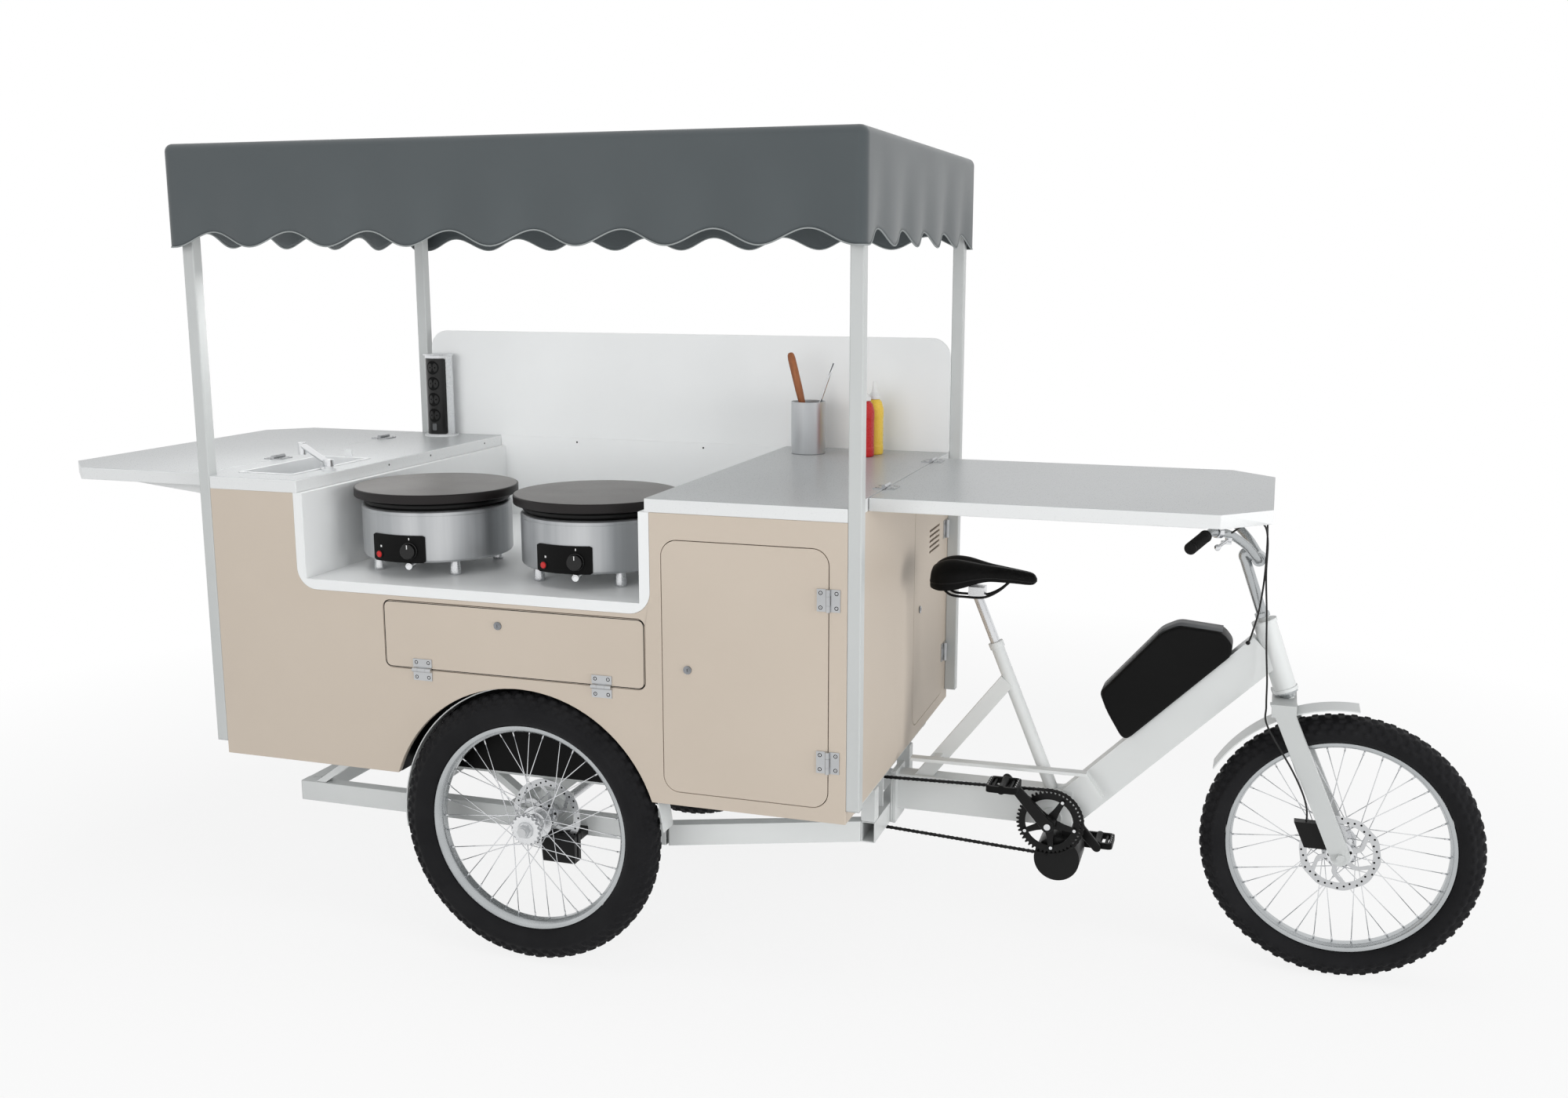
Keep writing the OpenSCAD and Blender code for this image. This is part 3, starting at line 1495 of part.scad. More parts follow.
module rear_wheel(bore) {
    y = rear_track * half;
    rim(rear_axle_x, axle_z, y, rear_tyre_r, rear_section_r, 0);
    difference() {
        union() {
            cross_rod(rear_axle_x, axle_z, rear_hub_in, rear_hub_out, hub_r);
            for (f = rear_flanges)
                cross_rod(rear_axle_x, axle_z, f - hub_flange_t * half, f + hub_flange_t * half, flange_r);
            cross_rod(rear_axle_x, axle_z, disc_out + clear, disc_out + cam_w, disc_in_r + hub_flange_t);
        }
        cross_rod(rear_axle_x, axle_z, rear_hub_in - overrun, rear_hub_out + overrun, bore);
    }
    disc(rear_axle_x, axle_z, disc_out - disc_t, disc_out);
    spokes(rear_axle_x, axle_z, y, rear_flanges, rear_tyre_r - 2 * rear_section_r - rim_deep);
}

module rear_tyre_left() {
    color(rubber_black) tyre(rear_axle_x, axle_z, rear_track * half, rear_tyre_r, rear_section_r, 0);
}

module rear_tyre_right() {
    color(rubber_black) tyre(rear_axle_x, axle_z, -rear_track * half, rear_tyre_r, rear_section_r, 0);
}

module rear_wheel_left() {
    color(steel_grey) rear_wheel(axle_r + run_gap);
}

module rear_wheel_right() {
    color(steel_grey) mirror([0, 1, 0]) rear_wheel(axle_r + run_gap);
}

// Cranks and pedals
crank_turn = 132;
arm_y = [98, 112];
arm_r = 14;
crank_axle_half = 107;
ring_out = 87.5;
ring_hole_at = 50;
ring_hole_r = 23;
spider_count = 5;
ring_y = [-72, -68];
spindle_r = 7;
spindle_end = 206;
pedal_y = [116, 208];
pedal_long = 86;
pedal_t = 24;
pedal_slot_share = 0.085;
pedal_slot_at_share = 0.2875;
crank_tip = crank_len * [cos(crank_turn), sin(crank_turn)];

module crank_arm(dir, y0, y1) {
    tip = [crank_x, crank_z] + dir * crank_tip;
    lean_tube([crank_x, crank_z], tip, arm_r * 2 - leaf_t, y0 + half, y1 - half);
    cross_rod(crank_x, crank_z, y0, y1, arm_r + leaf_t);
    cross_rod(tip[0], tip[1], y0, y1, arm_r);
    cross_rod(tip[0], tip[1], y0 < 0 ? -spindle_end : y1 - half, y0 < 0 ? y0 + half : spindle_end, spindle_r);
}

module crankset() {
    color(black) {
        cross_rod(crank_x, crank_z, -crank_axle_half, crank_axle_half, crank_axle_r);
        crank_arm(1, -arm_y[1], -arm_y[0]);
        crank_arm(-1, arm_y[0], arm_y[1]);
        difference() {
            cross_rod(crank_x, crank_z, ring_y[0], ring_y[1], ring_out);
            for (k = [0 : spider_count - 1]) {
                a = crank_turn + 360 * (k + half) / spider_count;
                cross_rod(crank_x + ring_hole_at * cos(a), crank_z + ring_hole_at * sin(a),
                          ring_y[0] - overrun, ring_y[1] + overrun, ring_hole_r);
            }
        }
    }
}

module pedal(dir) {
    tip = [crank_x, crank_z] + dir * crank_tip;
    slot = pedal_long * pedal_slot_share;
    slot_at = pedal_long * pedal_slot_at_share;
    difference() {
        slab([tip[0] - pedal_long * half, pedal_y[0], tip[1] - pedal_t * half],
             [tip[0] + pedal_long * half, pedal_y[1], tip[1] + pedal_t * half]);
        for (s = both())
            slab([tip[0] + s * slot_at - slot, pedal_y[0] + cam_w, tip[1] - pedal_t],
                 [tip[0] + s * slot_at + slot, pedal_y[1] - cam_w, tip[1] + pedal_t]);
        cross_rod(tip[0], tip[1], pedal_y[0] - overrun, pedal_y[1] + overrun, spindle_r + run_gap);
    }
}

module pedal_left() {
    color(black) pedal(-1);
}

module pedal_right() {
    color(black) mirror([0, 1, 0]) pedal(1);
}

// Seat
post_in = 205;
post_up = 150;
post_tip = seat_at(seat_long + post_up);
clamp_behind = 18.5;
clamp_ahead = 25.5;
clamp_side = 22;
clamp_under = 11.5;
clamp_over = 17.1;
clamp_box_lo = post_tip - [clamp_behind, clamp_side, clamp_under];
clamp_box_hi = post_tip + [clamp_ahead, clamp_side, clamp_over];
saddle_behind = 124.5;
saddle_lift = 4.5;
saddle_start = post_tip[0] - saddle_behind;
saddle_len = 292;
saddle_half = 85;
saddle_base = post_tip[2] + saddle_lift;
saddle_high = 96;
saddle_x_shares = [0, 0.041, 0.137, 0.274, 0.356, 0.514, 0.651, 0.788, 0.918, 1];
saddle_w_shares = [0.4, 0.776, 0.976, 1, 0.929, 0.659, 0.435, 0.329, 0.259, 0.106];
saddle_top_shares = [0.646, 0.8125, 0.9375, 1, 0.979, 0.875, 0.76, 0.656, 0.573, 0.5];
saddle_low_shares = [0.25, 0.042, 0, 0.104, 0.168, 0.168, 0.208, 0.25, 0.292, 0.375];
saddle_round_share = 0.55;
saddle_arc = 10;
saddle_sag = 3;

module seatpost() {
    color(steel_grey) {
        rod(seat_at(seat_long - post_in), seat_at(seat_long + post_up), seatpost_r);
        slab(clamp_box_lo, clamp_box_hi);
    }
}

module saddle() {
    n = saddle_arc + 3;
    m = len(saddle_x_shares);
    pts = [for (i = [0 : m - 1])
        let (x = shift_x + saddle_start + saddle_len * saddle_x_shares[i],
            w = saddle_half * saddle_w_shares[i],
             zl = saddle_base + saddle_high * saddle_low_shares[i],
             zt = saddle_base + saddle_high * saddle_top_shares[i])
        each concat(
            [for (k = [0 : saddle_arc]) let (a = 180 * k / saddle_arc)
                [x, w * cos(a), zl + (zt - zl) * pow(sin(a), saddle_round_share)]],
            [[x, -w * half, zl - saddle_sag], [x, w * half, zl - saddle_sag]])];
    skin = [for (i = [0 : m - 2], k = [0 : n - 1])
        let (a = i * n + k, b = i * n + (k + 1) % n)
        each [[a, a + n, b], [b, a + n, b + n]]];
    caps = [for (k = [1 : n - 2])
        each [[0, k, k + 1], [(m - 1) * n, (m - 1) * n + k + 1, (m - 1) * n + k]]];
    color(black) polyhedron(points = pts, faces = concat(skin, caps), convexity = 10);
}

chassis();
bike_frame();
axle_carriers();
rear_calipers();
rear_guards();
wheel_arches();
battery();
motor();
chain();
box_panels();
inner_panels();
recess_tub();
counters();
sink_fittings();
water_tanks();
roof_frame();
canopy();
backsplash();
griddle_housings();
griddle_plates();
counter_ware();
hinge_leaves();
side_door();
side_door_hinges();
side_door_lock();
drop_door();
drop_door_hinges();
drop_door_lock();
front_door();
front_door_hinges();
front_door_lock();
rear_table();
rear_table_hinges();
front_table();
front_table_hinges();
faucet_spout();
power_tower();
griddle_knob_rear();
griddle_knob_front();
fork();
handlebar();
grips();
brake_lever_right();
brake_lever_left();
brake_cables();
front_mudguard();
front_caliper();
front_tyre();
front_wheel();
rear_axle();
rear_tyre_right();
rear_wheel_right();
rear_tyre_left();
rear_wheel_left();
crankset();
pedal_right();
pedal_left();
seatpost();
saddle();
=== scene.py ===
import math

import bmesh
import bpy
import numpy as np
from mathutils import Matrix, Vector


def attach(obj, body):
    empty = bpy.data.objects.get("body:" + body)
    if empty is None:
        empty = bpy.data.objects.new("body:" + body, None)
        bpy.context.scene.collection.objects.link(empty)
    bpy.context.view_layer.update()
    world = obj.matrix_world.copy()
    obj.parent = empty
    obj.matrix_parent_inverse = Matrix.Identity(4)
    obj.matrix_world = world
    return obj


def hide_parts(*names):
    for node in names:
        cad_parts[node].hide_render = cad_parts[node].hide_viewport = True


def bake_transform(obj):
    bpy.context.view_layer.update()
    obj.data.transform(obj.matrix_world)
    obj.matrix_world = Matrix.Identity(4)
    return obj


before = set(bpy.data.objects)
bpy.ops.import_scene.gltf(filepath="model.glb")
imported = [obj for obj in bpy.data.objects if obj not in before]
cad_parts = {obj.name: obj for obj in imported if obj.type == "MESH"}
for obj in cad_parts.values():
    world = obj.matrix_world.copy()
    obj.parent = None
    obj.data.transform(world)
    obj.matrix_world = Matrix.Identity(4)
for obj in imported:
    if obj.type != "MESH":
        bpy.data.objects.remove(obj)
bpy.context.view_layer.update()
print("frame loaded")

cartShift = -479.5      # box centre to part origin along X, mm
millimetre = 0.001      # in metres
fullTurn = 2 * np.pi
quarterTurn = np.pi / 2
acrossCart = (0, 1, 0)  # axle direction
leftRight = ((1, "Left"), (-1, "Right"))


# Millimetres measured from the box centre, turned into metres of the part frame
def place(points):
    return (np.asarray(points, float) + np.array([cartShift, 0, 0])) * millimetre


def addObject(name, data):
    piece = bpy.data.objects.new(name, data)
    bpy.context.scene.collection.objects.link(piece)
    return piece


# Camera or lamp at a spot, its -Z axis along the look
def aim(piece, spot, look):
    piece.location = spot
    piece.rotation_euler = look.to_track_quat("-Z", "Y").to_euler()


cameraSet = {
    "spot": (1.4175, -4.069, 1.8845), "lens": 34.597, "sensor": 36, "yaw": 18.11, "pitch": -10.75,
    "near": 0.05, "far": 100,
}


def setCamera():
    c = cameraSet
    yaw = math.radians(c["yaw"])
    pitch = math.radians(c["pitch"])
    look = Vector((-math.sin(yaw) * math.cos(pitch), math.cos(yaw) * math.cos(pitch), math.sin(pitch)))
    data = bpy.data.cameras.new("photoCamera")
    data.sensor_fit = "HORIZONTAL"
    data.sensor_width = c["sensor"]
    data.lens = c["lens"]
    data.clip_start = c["near"]
    data.clip_end = c["far"]
    camera = addObject("photoCamera", data)
    aim(camera, c["spot"], look)
    bpy.context.scene.camera = camera


setCamera()
print("camera set")


# mesh makers

meshSet = {"merge": 1e-6, "sliver": 1e-7, "cornerShare": 0.45, "rodRef": (0.31, 0.87, 0.37)}


# Grid of points (count, rows, columns, 3): each point is joined to the next row and column by a quad
def gridMesh(name, pts, finish, body, wrapRows=False, wrapCols=False, caps=False, smooth=True, loose=False):
    pts = np.asarray(pts, float)
    if pts.ndim == 3:
        pts = pts[None]
    count, rows, cols = pts.shape[:3]
    index = np.arange(count * rows * cols).reshape(count, rows, cols)
    low = index if wrapRows else index[:, :-1]
    high = np.roll(index, -1, 1) if wrapRows else index[:, 1:]
    if wrapCols:
        quads = np.stack([low, np.roll(low, -1, 2), np.roll(high, -1, 2), high], -1)
    else:
        quads = np.stack([low[:, :, :-1], low[:, :, 1:], high[:, :, 1:], high[:, :, :-1]], -1)
    faces = quads.reshape(-1, 4).tolist()
    if caps:
        faces += index[:, 0, ::-1].tolist() + index[:, -1].tolist()
    mesh = bpy.data.meshes.new(name)
    mesh.from_pydata(pts.reshape(-1, 3), [], faces)
    shell = bmesh.new()
    shell.from_mesh(mesh)
    if not loose:
        bmesh.ops.remove_doubles(shell, verts=shell.verts, dist=meshSet["merge"])
    bmesh.ops.dissolve_degenerate(shell, edges=shell.edges, dist=meshSet["sliver"])
    bmesh.ops.recalc_face_normals(shell, faces=shell.faces)
    shell.to_mesh(mesh)
    shell.free()
    mesh.polygons.foreach_set("use_smooth", [smooth and len(face.vertices) < 5 for face in mesh.polygons])
    material, slotName = finishes[finish]
    mesh.materials.append(material)
    piece = addObject(name, mesh)
    if body:
        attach(piece, body)
    return piece


# Vectors divided by their lengths
def unit(vectors):
    vectors = np.asarray(vectors, float)
    return vectors / np.linalg.norm(vectors, axis=-1, keepdims=True)


# Unit axis and two unit vectors square to it
def crossAxes(axis):
    axis = unit(axis)
    upright = abs(axis[2]) >= 0.9
    side = np.array([1.0, 0, 0]) if upright else np.cross(axis, [0, 0, 1.0])
    side = unit(side - axis * (side @ axis))
    return axis, side, np.cross(axis, side)


# Profile (radius, height) turned about an axis through each centre; ripple scales the radius by angle
def turnedPoints(profile, centres, axis, seg, ripple):
    profile = np.asarray(profile, float)
    centres = np.atleast_2d(np.asarray(centres, float))
    axis, side, up = crossAxes(axis)
    angle = np.linspace(0, fullTurn, seg, endpoint=False)
    ring = np.cos(angle)[:, None] * side + np.sin(angle)[:, None] * up
    radius = np.broadcast_to(profile[:, 0], (seg, len(profile)))
    if ripple is not None:
        radius = radius * ripple(angle[:, None], np.arange(len(profile))[None])
    local = ring[:, None] * radius[..., None] + axis * profile[:, 1][None, :, None]
    return place(centres[:, None, None] + local[None])


def turned(name, profile, centres, finish, body, axis=(0, 0, 1), seg=48, ripple=None, closed=False,
           smooth=True):
    pts = turnedPoints(profile, centres, axis, seg, ripple)
    return gridMesh(name, pts, finish, body, wrapRows=True, wrapCols=closed, smooth=smooth)


# Profile whose corners become quadratic curves, from a point before the corner to a point after it
def softened(profile, radius, steps):
    p = np.asarray(profile, float)
    share = meshSet["cornerShare"]
    t = np.linspace(0, 1, steps + 1)[:, None]
    out = [p[0]]
    for a, b, c in zip(p[:-2], p[1:-1], p[2:]):
        cut = min(radius, share * np.linalg.norm(a - b), share * np.linalg.norm(c - b))
        start = b + unit(a - b) * cut
        end = b + unit(c - b) * cut
        out.extend((1 - t) ** 2 * start + 2 * t * (1 - t) * b + t ** 2 * end)
    out.append(p[-1])
    return np.array(out)


# Closed outline with all its corners softened
def softLoop(points, radius, steps):
    p = np.asarray(points, float)
    return softened(np.vstack([p[-1], p, p[0]]), radius, steps)[1:-1]


# Corners of a rectangle, in turn
def corners(x0, x1, z0, z1):
    return [[x0, z0], [x1, z0], [x1, z1], [x0, z1]]


# Four corners, softened
def rectangle(x0, x1, z0, z1, radius, steps=5):
    return softLoop(corners(x0, x1, z0, z1), radius, steps)


# Smooth curve through points: between each pair a cubic in t, from the pair and its two neighbours
def smoothPath(points, steps):
    p = np.asarray(points, float)
    q = np.vstack([p[0], p, p[-1]])
    t = np.linspace(0, 1, steps, endpoint=False)[None, :, None]
    a, b, c, d = (q[i:len(q) - 3 + i, None] for i in range(4))
    square = (2 * a - 5 * b + 4 * c - d) * t ** 2
    cube = (3 * b - a - 3 * c + d) * t ** 3
    curve = 0.5 * (2 * b + (c - a) * t + square + cube)
    return np.vstack([curve.reshape(-1, p.shape[1]), p[-1]])


# Unit ring at each point: cosine times its side vector plus sine times its up vector
def unitRings(side, up, sides):
    angle = np.linspace(0, fullTurn, sides, endpoint=False)[None, :, None]
    return np.cos(angle) * side[:, None] + np.sin(angle) * up[:, None]


# Round tube: rings square to the path, each with the radius of its point
def tubePoints(path, radius, sides, ref):
    path = np.asarray(path, float)
    along = unit(np.gradient(path, axis=0))
    side = unit(np.cross(along, np.asarray(ref, float)))
    ring = unitRings(side, np.cross(side, along), sides)
    return place(path[:, None] + ring * np.broadcast_to(radius, len(path))[:, None, None])


def tube(name, path, radius, finish, body, sides, ref):
    return gridMesh(name, tubePoints(path, radius, sides, ref), finish, body, wrapCols=True, caps=True)


# Many straight round rods in one mesh: the same ring at the start and the end of each
def rods(name, starts, ends, radius, finish, body, sides=8):
    starts = np.asarray(starts, float)
    ends = np.asarray(ends, float)
    along = unit(ends - starts)
    side = unit(np.cross(along, meshSet["rodRef"]))
    ring = radius * unitRings(side, np.cross(along, side), sides)
    pts = np.stack([starts[:, None] + ring, ends[:, None] + ring], 1)
    return gridMesh(name, place(pts), finish, body, wrapCols=True, caps=True)


# Outline carried from low to high; both rims are quarter circles, made by moving the outline inwards
def slabPoints(outline, low, high, edge, axes="xzy", steps=4):
    o = np.asarray(outline, float)
    area = np.sum(o[:, 0] * np.roll(o[:, 1], -1) - np.roll(o[:, 0], -1) * o[:, 1])
    if area < 0:
        o = o[::-1]
    ahead = np.roll(o, -1, 0) - o
    back = o - np.roll(o, 1, 0)
    n1 = unit(np.stack([ahead[:, 1], -ahead[:, 0]], 1))
    n2 = unit(np.stack([back[:, 1], -back[:, 0]], 1))
    out = (n1 + n2) / (1 + np.sum(n1 * n2, 1))[:, None].clip(0.5)
    a = np.linspace(0, quarterTurn, steps + 1)
    inset = np.concatenate([edge * (1 - np.sin(a)), edge * (1 - np.sin(a[::-1]))])
    level = np.concatenate([low + edge * (1 - np.cos(a)), high - edge * (1 - np.cos(a[::-1]))])
    flat = o[None] - inset[:, None, None] * out[None]
    levels = np.broadcast_to(level[:, None, None], flat.shape[:2] + (1,))
    order = [axes.index(c) for c in "xyz"]
    return np.concatenate([flat, levels], 2)[..., order]


def slab(name, outline, low, high, edge, finish, body, axes="xzy"):
    pts = slabPoints(outline, low, high, edge, axes)
    return gridMesh(name, place(pts), finish, body, wrapCols=True, caps=True)


# Thin rectangle facing outwards: corners at plus and minus the half sizes, carried between two depths
def thinPlate(name, spot, across, out, half, depths, finish, body):
    across = np.asarray(across, float) * half[0]
    up = np.array([0, 0, half[1]], float)
    flat = np.array([spot + across * w + up * h for w, h in corners(-1, 1, -1, 1)])
    pts = np.stack([flat + np.asarray(out, float) * depth for depth in depths])
    return gridMesh(name, place(pts), finish, body, wrapCols=True, caps=True, smooth=False)


# Flat outline turned by an angle about a centre (x, z)
def spun(outline, angle, centre):
    c, s = math.cos(angle), math.sin(angle)
    return np.asarray(outline, float) @ np.array([[c, s], [-s, c]]) + centre


# Points round a centre (x, z): cosine and sine of the angle times the radius, at depth y
def roundPoints(centre, radius, angle, y):
    x = centre[0] + radius * np.cos(angle)
    z = centre[1] + radius * np.sin(angle)
    return np.stack(np.broadcast_arrays(x, y, z), -1)


# Slim bevel along the sharp edges of a piece
def crisp(piece, width, angle=35, segments=2):
    bevel = piece.modifiers.new("edge", "BEVEL")
    bevel.width = width * millimetre
    bevel.segments = segments
    bevel.limit_method = "ANGLE"
    bevel.angle_limit = math.radians(angle)


# Sheet given a wall thickness
def thicken(piece, name, thickness, offset):
    wall = piece.modifiers.new(name, "SOLIDIFY")
    wall.thickness = thickness * millimetre
    wall.offset = offset


# materials

finishes = {}


def blank(name):
    material = bpy.data.materials.new(name)
    material.use_nodes = True
    tree = material.node_tree
    shader = tree.nodes["Principled BSDF"]
    coord = tree.nodes.new("ShaderNodeTexCoord")
    return material, tree, shader, coord


def noise(tree, source, scale, detail, stretch=(1, 1, 1)):
    mapping = tree.nodes.new("ShaderNodeMapping")
    mapping.inputs["Scale"].default_value = stretch
    tree.links.new(source, mapping.inputs["Vector"])
    node = tree.nodes.new("ShaderNodeTexNoise")
    node.inputs["Scale"].default_value = scale
    node.inputs["Detail"].default_value = detail
    tree.links.new(mapping.outputs["Vector"], node.inputs["Vector"])
    return node.outputs["Fac"]


# Value between start and end, mapped to low and high
def spread(tree, value, low, high, start=0.3, end=0.7):
    node = tree.nodes.new("ShaderNodeMapRange")
    for key, number in (("From Min", start), ("From Max", end), ("To Min", low), ("To Max", high)):
        node.inputs[key].default_value = number
    tree.links.new(value, node.inputs["Value"])
    return node.outputs["Result"]


def combined(tree, operation, first, second):
    node = tree.nodes.new("ShaderNodeMath")
    node.operation = operation
    tree.links.new(first, node.inputs[0])
    tree.links.new(second, node.inputs[1])
    return node.outputs[0]


def mixed(tree, factor, first, second):
    node = tree.nodes.new("ShaderNodeMix")
    node.data_type = "RGBA"
    for socket, value in ((node.inputs[6], first), (node.inputs[7], second)):
        if isinstance(value, bpy.types.NodeSocket):
            tree.links.new(value, socket)
        else:
            socket.default_value = (*value, 1)
    tree.links.new(factor, node.inputs[0])
    return node.outputs[2]


def bumped(tree, shader, height, strength, distance):
    node = tree.nodes.new("ShaderNodeBump")
    node.inputs["Strength"].default_value = strength
    node.inputs["Distance"].default_value = distance
    tree.links.new(height, node.inputs["Height"])
    tree.links.new(node.outputs["Normal"], shader.inputs["Normal"])


# One finish: two close tones in soft clouds, a roughness that wanders, and a fine surface grain
def addFinish(name, slotName, tone, second, rough, metal=0.0, cloud=3.0, grain=400.0, stretch=(1, 1, 1),
              bump=0.15, depth=0.0004, cloudStretch=(1, 1, 1), shine=0.5):
    material, tree, shader, coord = blank(name)
    where = coord.outputs["Object"]
    clouds = noise(tree, where, cloud, 5, cloudStretch)
    grainOut = noise(tree, where, grain, 3, stretch)
    tree.links.new(mixed(tree, spread(tree, clouds, 0, 1), tone, second), shader.inputs["Base Color"])
    tree.links.new(spread(tree, grainOut, rough[0], rough[1]), shader.inputs["Roughness"])
    shader.inputs["Metallic"].default_value = metal
    bumped(tree, shader, grainOut, bump, depth)
    shader.inputs["Specular IOR Level"].default_value = shine
    finishes[name] = (material, slotName)


# values that several finishes share
paint = {"grain": 220, "bump": 0.06}
softPlastic = {"grain": 300, "bump": 0.04}
bareMetal = {"metal": 1.0, "cloud": 9, "grain": 320}
polished = {"metal": 1.0, "grain": 140, "bump": 0.03}
# brushed grain in roughness and bump; the tone clouds, stretched into upright bands, are painted reflection
# streaks
brushedWithReflectionStreaks = {
    "metal": 0.75, "grain": 300, "stretch": (1, 1, 0.02), "bump": 0.04, "depth": 0.0001,
    "cloudStretch": (1, 1, 0.04),
}
# slot, two tones, roughness range, then what differs from a plain finish
finishSet = {
    "whitePaint": ("white_paint", (0.70, 0.715, 0.71), (0.66, 0.675, 0.67), (0.32, 0.44), paint),
    "beigeBoard": ("beige_board", (0.590, 0.512, 0.430), (0.565, 0.488, 0.408), (0.48, 0.62),
                   {"cloud": 2.2, "grain": 260, "stretch": (0.25, 1, 1), "bump": 0.08}),
    "whiteBoard": ("white_board", (0.85, 0.86, 0.86), (0.82, 0.83, 0.83), (0.34, 0.46),
                   {"grain": 180, "bump": 0.05}),
    # the white paint a shade darker: painted shade on the fork, and a greyer white on the roof posts
    "greyerPaintAndShade": ("white_paint", (0.56, 0.575, 0.57), (0.53, 0.545, 0.54), (0.32, 0.44), paint),
    "sinkSteel": ("steel", (0.82, 0.83, 0.83), (0.74, 0.75, 0.76), (0.28, 0.40),
                  {"metal": 0.3, "cloud": 6, "grain": 90, "stretch": (1, 12, 1), "bump": 0.06,
                   "depth": 0.0002}),
    "rimAlloy": ("alloy", (0.52, 0.54, 0.55), (0.44, 0.46, 0.47), (0.24, 0.34),
                 {**bareMetal, "bump": 0.04}),
    "steel": ("steel", (0.66, 0.67, 0.68), (0.58, 0.59, 0.60), (0.22, 0.38),
              {"metal": 1.0, "cloud": 5, "grain": 60, "stretch": (1, 1, 14), "bump": 0.10,
               "depth": 0.0002}),
    "hingeSteel": ("steel", (0.56, 0.57, 0.58), (0.50, 0.51, 0.52), (0.30, 0.42),
                   {**bareMetal, "bump": 0.05}),
    "lockSteel": ("chrome", (0.30, 0.31, 0.33), (0.20, 0.21, 0.22), (0.08, 0.16),
                  {**polished, "cloud": 60}),
    "chrome": ("chrome", (0.80, 0.81, 0.82), (0.74, 0.75, 0.77), (0.06, 0.14), polished),
    "alloy": ("alloy", (0.78, 0.79, 0.80), (0.70, 0.71, 0.73), (0.22, 0.36), {**bareMetal, "bump": 0.06}),
    # cast iron of the griddle plates: this lighter tone stays only on the top face as a painted sheen; the
    # sides below it go near black
    "castIron": ("iron", (0.215, 0.207, 0.200), (0.175, 0.167, 0.161), (0.38, 0.50),
                 {"cloud": 7, "grain": 520, "bump": 0.04, "shine": 0.3}),
    "blackPlastic": ("black_plastic", (0.004, 0.004, 0.004), (0.006, 0.006, 0.006), (0.34, 0.50),
                     {"grain": 900, "bump": 0.10, "shine": 0.09}),
    "blackGloss": ("black_plastic", (0.003, 0.003, 0.003), (0.005, 0.005, 0.005), (0.16, 0.26),
                   {"grain": 500, "bump": 0.04, "shine": 0.4}),
    "blackMetal": ("black_metal", (0.005, 0.005, 0.005), (0.008, 0.008, 0.008), (0.30, 0.45),
                   {"grain": 500, "bump": 0.08, "shine": 0.18}),
    "rubber": ("tyre", (0.009, 0.009, 0.010), (0.013, 0.013, 0.014), (0.50, 0.75),
               {"cloud": 12, "grain": 700, "bump": 0.30, "shine": 0.12}),
    "gripRubber": ("grip_rubber", (0.004, 0.004, 0.004), (0.007, 0.007, 0.007), (0.50, 0.70),
                   {"grain": 900, "bump": 0.2, "shine": 0.16}),
    "tankPlastic": ("tank_plastic", (0.70, 0.73, 0.76), (0.64, 0.67, 0.70), (0.40, 0.55),
                    {"grain": 300, "bump": 0.08}),
    "saddleCover": ("saddle_cover", (0.003, 0.003, 0.003), (0.005, 0.005, 0.005), (0.34, 0.50),
                    {"cloud": 20, "grain": 1100, "bump": 0.30, "depth": 0.0003, "shine": 0.09}),
    "redPlastic": ("bottle_plastic", (0.55, 0.012, 0.015), (0.48, 0.010, 0.012), (0.22, 0.34), softPlastic),
    "yellowPlastic": ("bottle_plastic", (0.90, 0.62, 0.075), (0.84, 0.57, 0.065), (0.22, 0.34),
                      softPlastic),
    "whitePlastic": ("tank_plastic", (0.80, 0.80, 0.79), (0.76, 0.76, 0.75), (0.30, 0.42), softPlastic),
    "redLamp": ("bottle_plastic", (0.62, 0.012, 0.012), (0.50, 0.008, 0.008), (0.10, 0.18),
                {"grain": 300, "bump": 0.02}),
    "greyPlastic": ("black_plastic", (0.130, 0.134, 0.138), (0.105, 0.109, 0.113), (0.40, 0.55),
                    {"grain": 700, "bump": 0.1, "shine": 0.2}),
    # thin dark discs and plates put where holes, slots and recesses are: painted shade
    "holeShade": ("black_plastic", (0.003, 0.003, 0.003), (0.005, 0.005, 0.005), (0.70, 0.85),
                 {"grain": 300, "bump": 0.02, "shine": 0.1}),
    "worktop": ("grey_top", (0.50, 0.515, 0.52), (0.46, 0.475, 0.48), (0.26, 0.36),
                {"cloud": 1.5, "grain": 240, "bump": 0.05}),
    "piping": ("slate_cloth", (0.33, 0.35, 0.35), (0.28, 0.30, 0.30), (0.6, 0.75),
               {"grain": 600, "bump": 0.2}),
    # drum and cup steel: two far-apart tones in upright bands, painted reflection streaks
    "drumSteel": ("steel", (0.66, 0.67, 0.68), (0.42, 0.44, 0.46), (0.32, 0.42), {**brushedWithReflectionStreaks, "cloud": 8}),
    "griddleSteel": ("steel", (0.60, 0.61, 0.62), (0.25, 0.265, 0.28), (0.30, 0.40),
                     {**brushedWithReflectionStreaks, "cloud": 9}),
}
for finishName, (slotName, tone, second, rough, extra) in finishSet.items():
    addFinish(finishName, slotName, tone, second, rough, **extra)


woodSet = {
    "light": (0.36, 0.130, 0.048), "dark": (0.25, 0.082, 0.030), "pore": (0.08, 0.025, 0.010),
    "streak": 90, "streakStretch": (1, 1, 0.12), "pores": 600, "poreStretch": (1, 1, 0.08),
    "poreShow": (0, 0.5, 0.55, 0.75), "rough": (0.35, 0.55), "bump": 0.2, "depth": 0.0003,
}


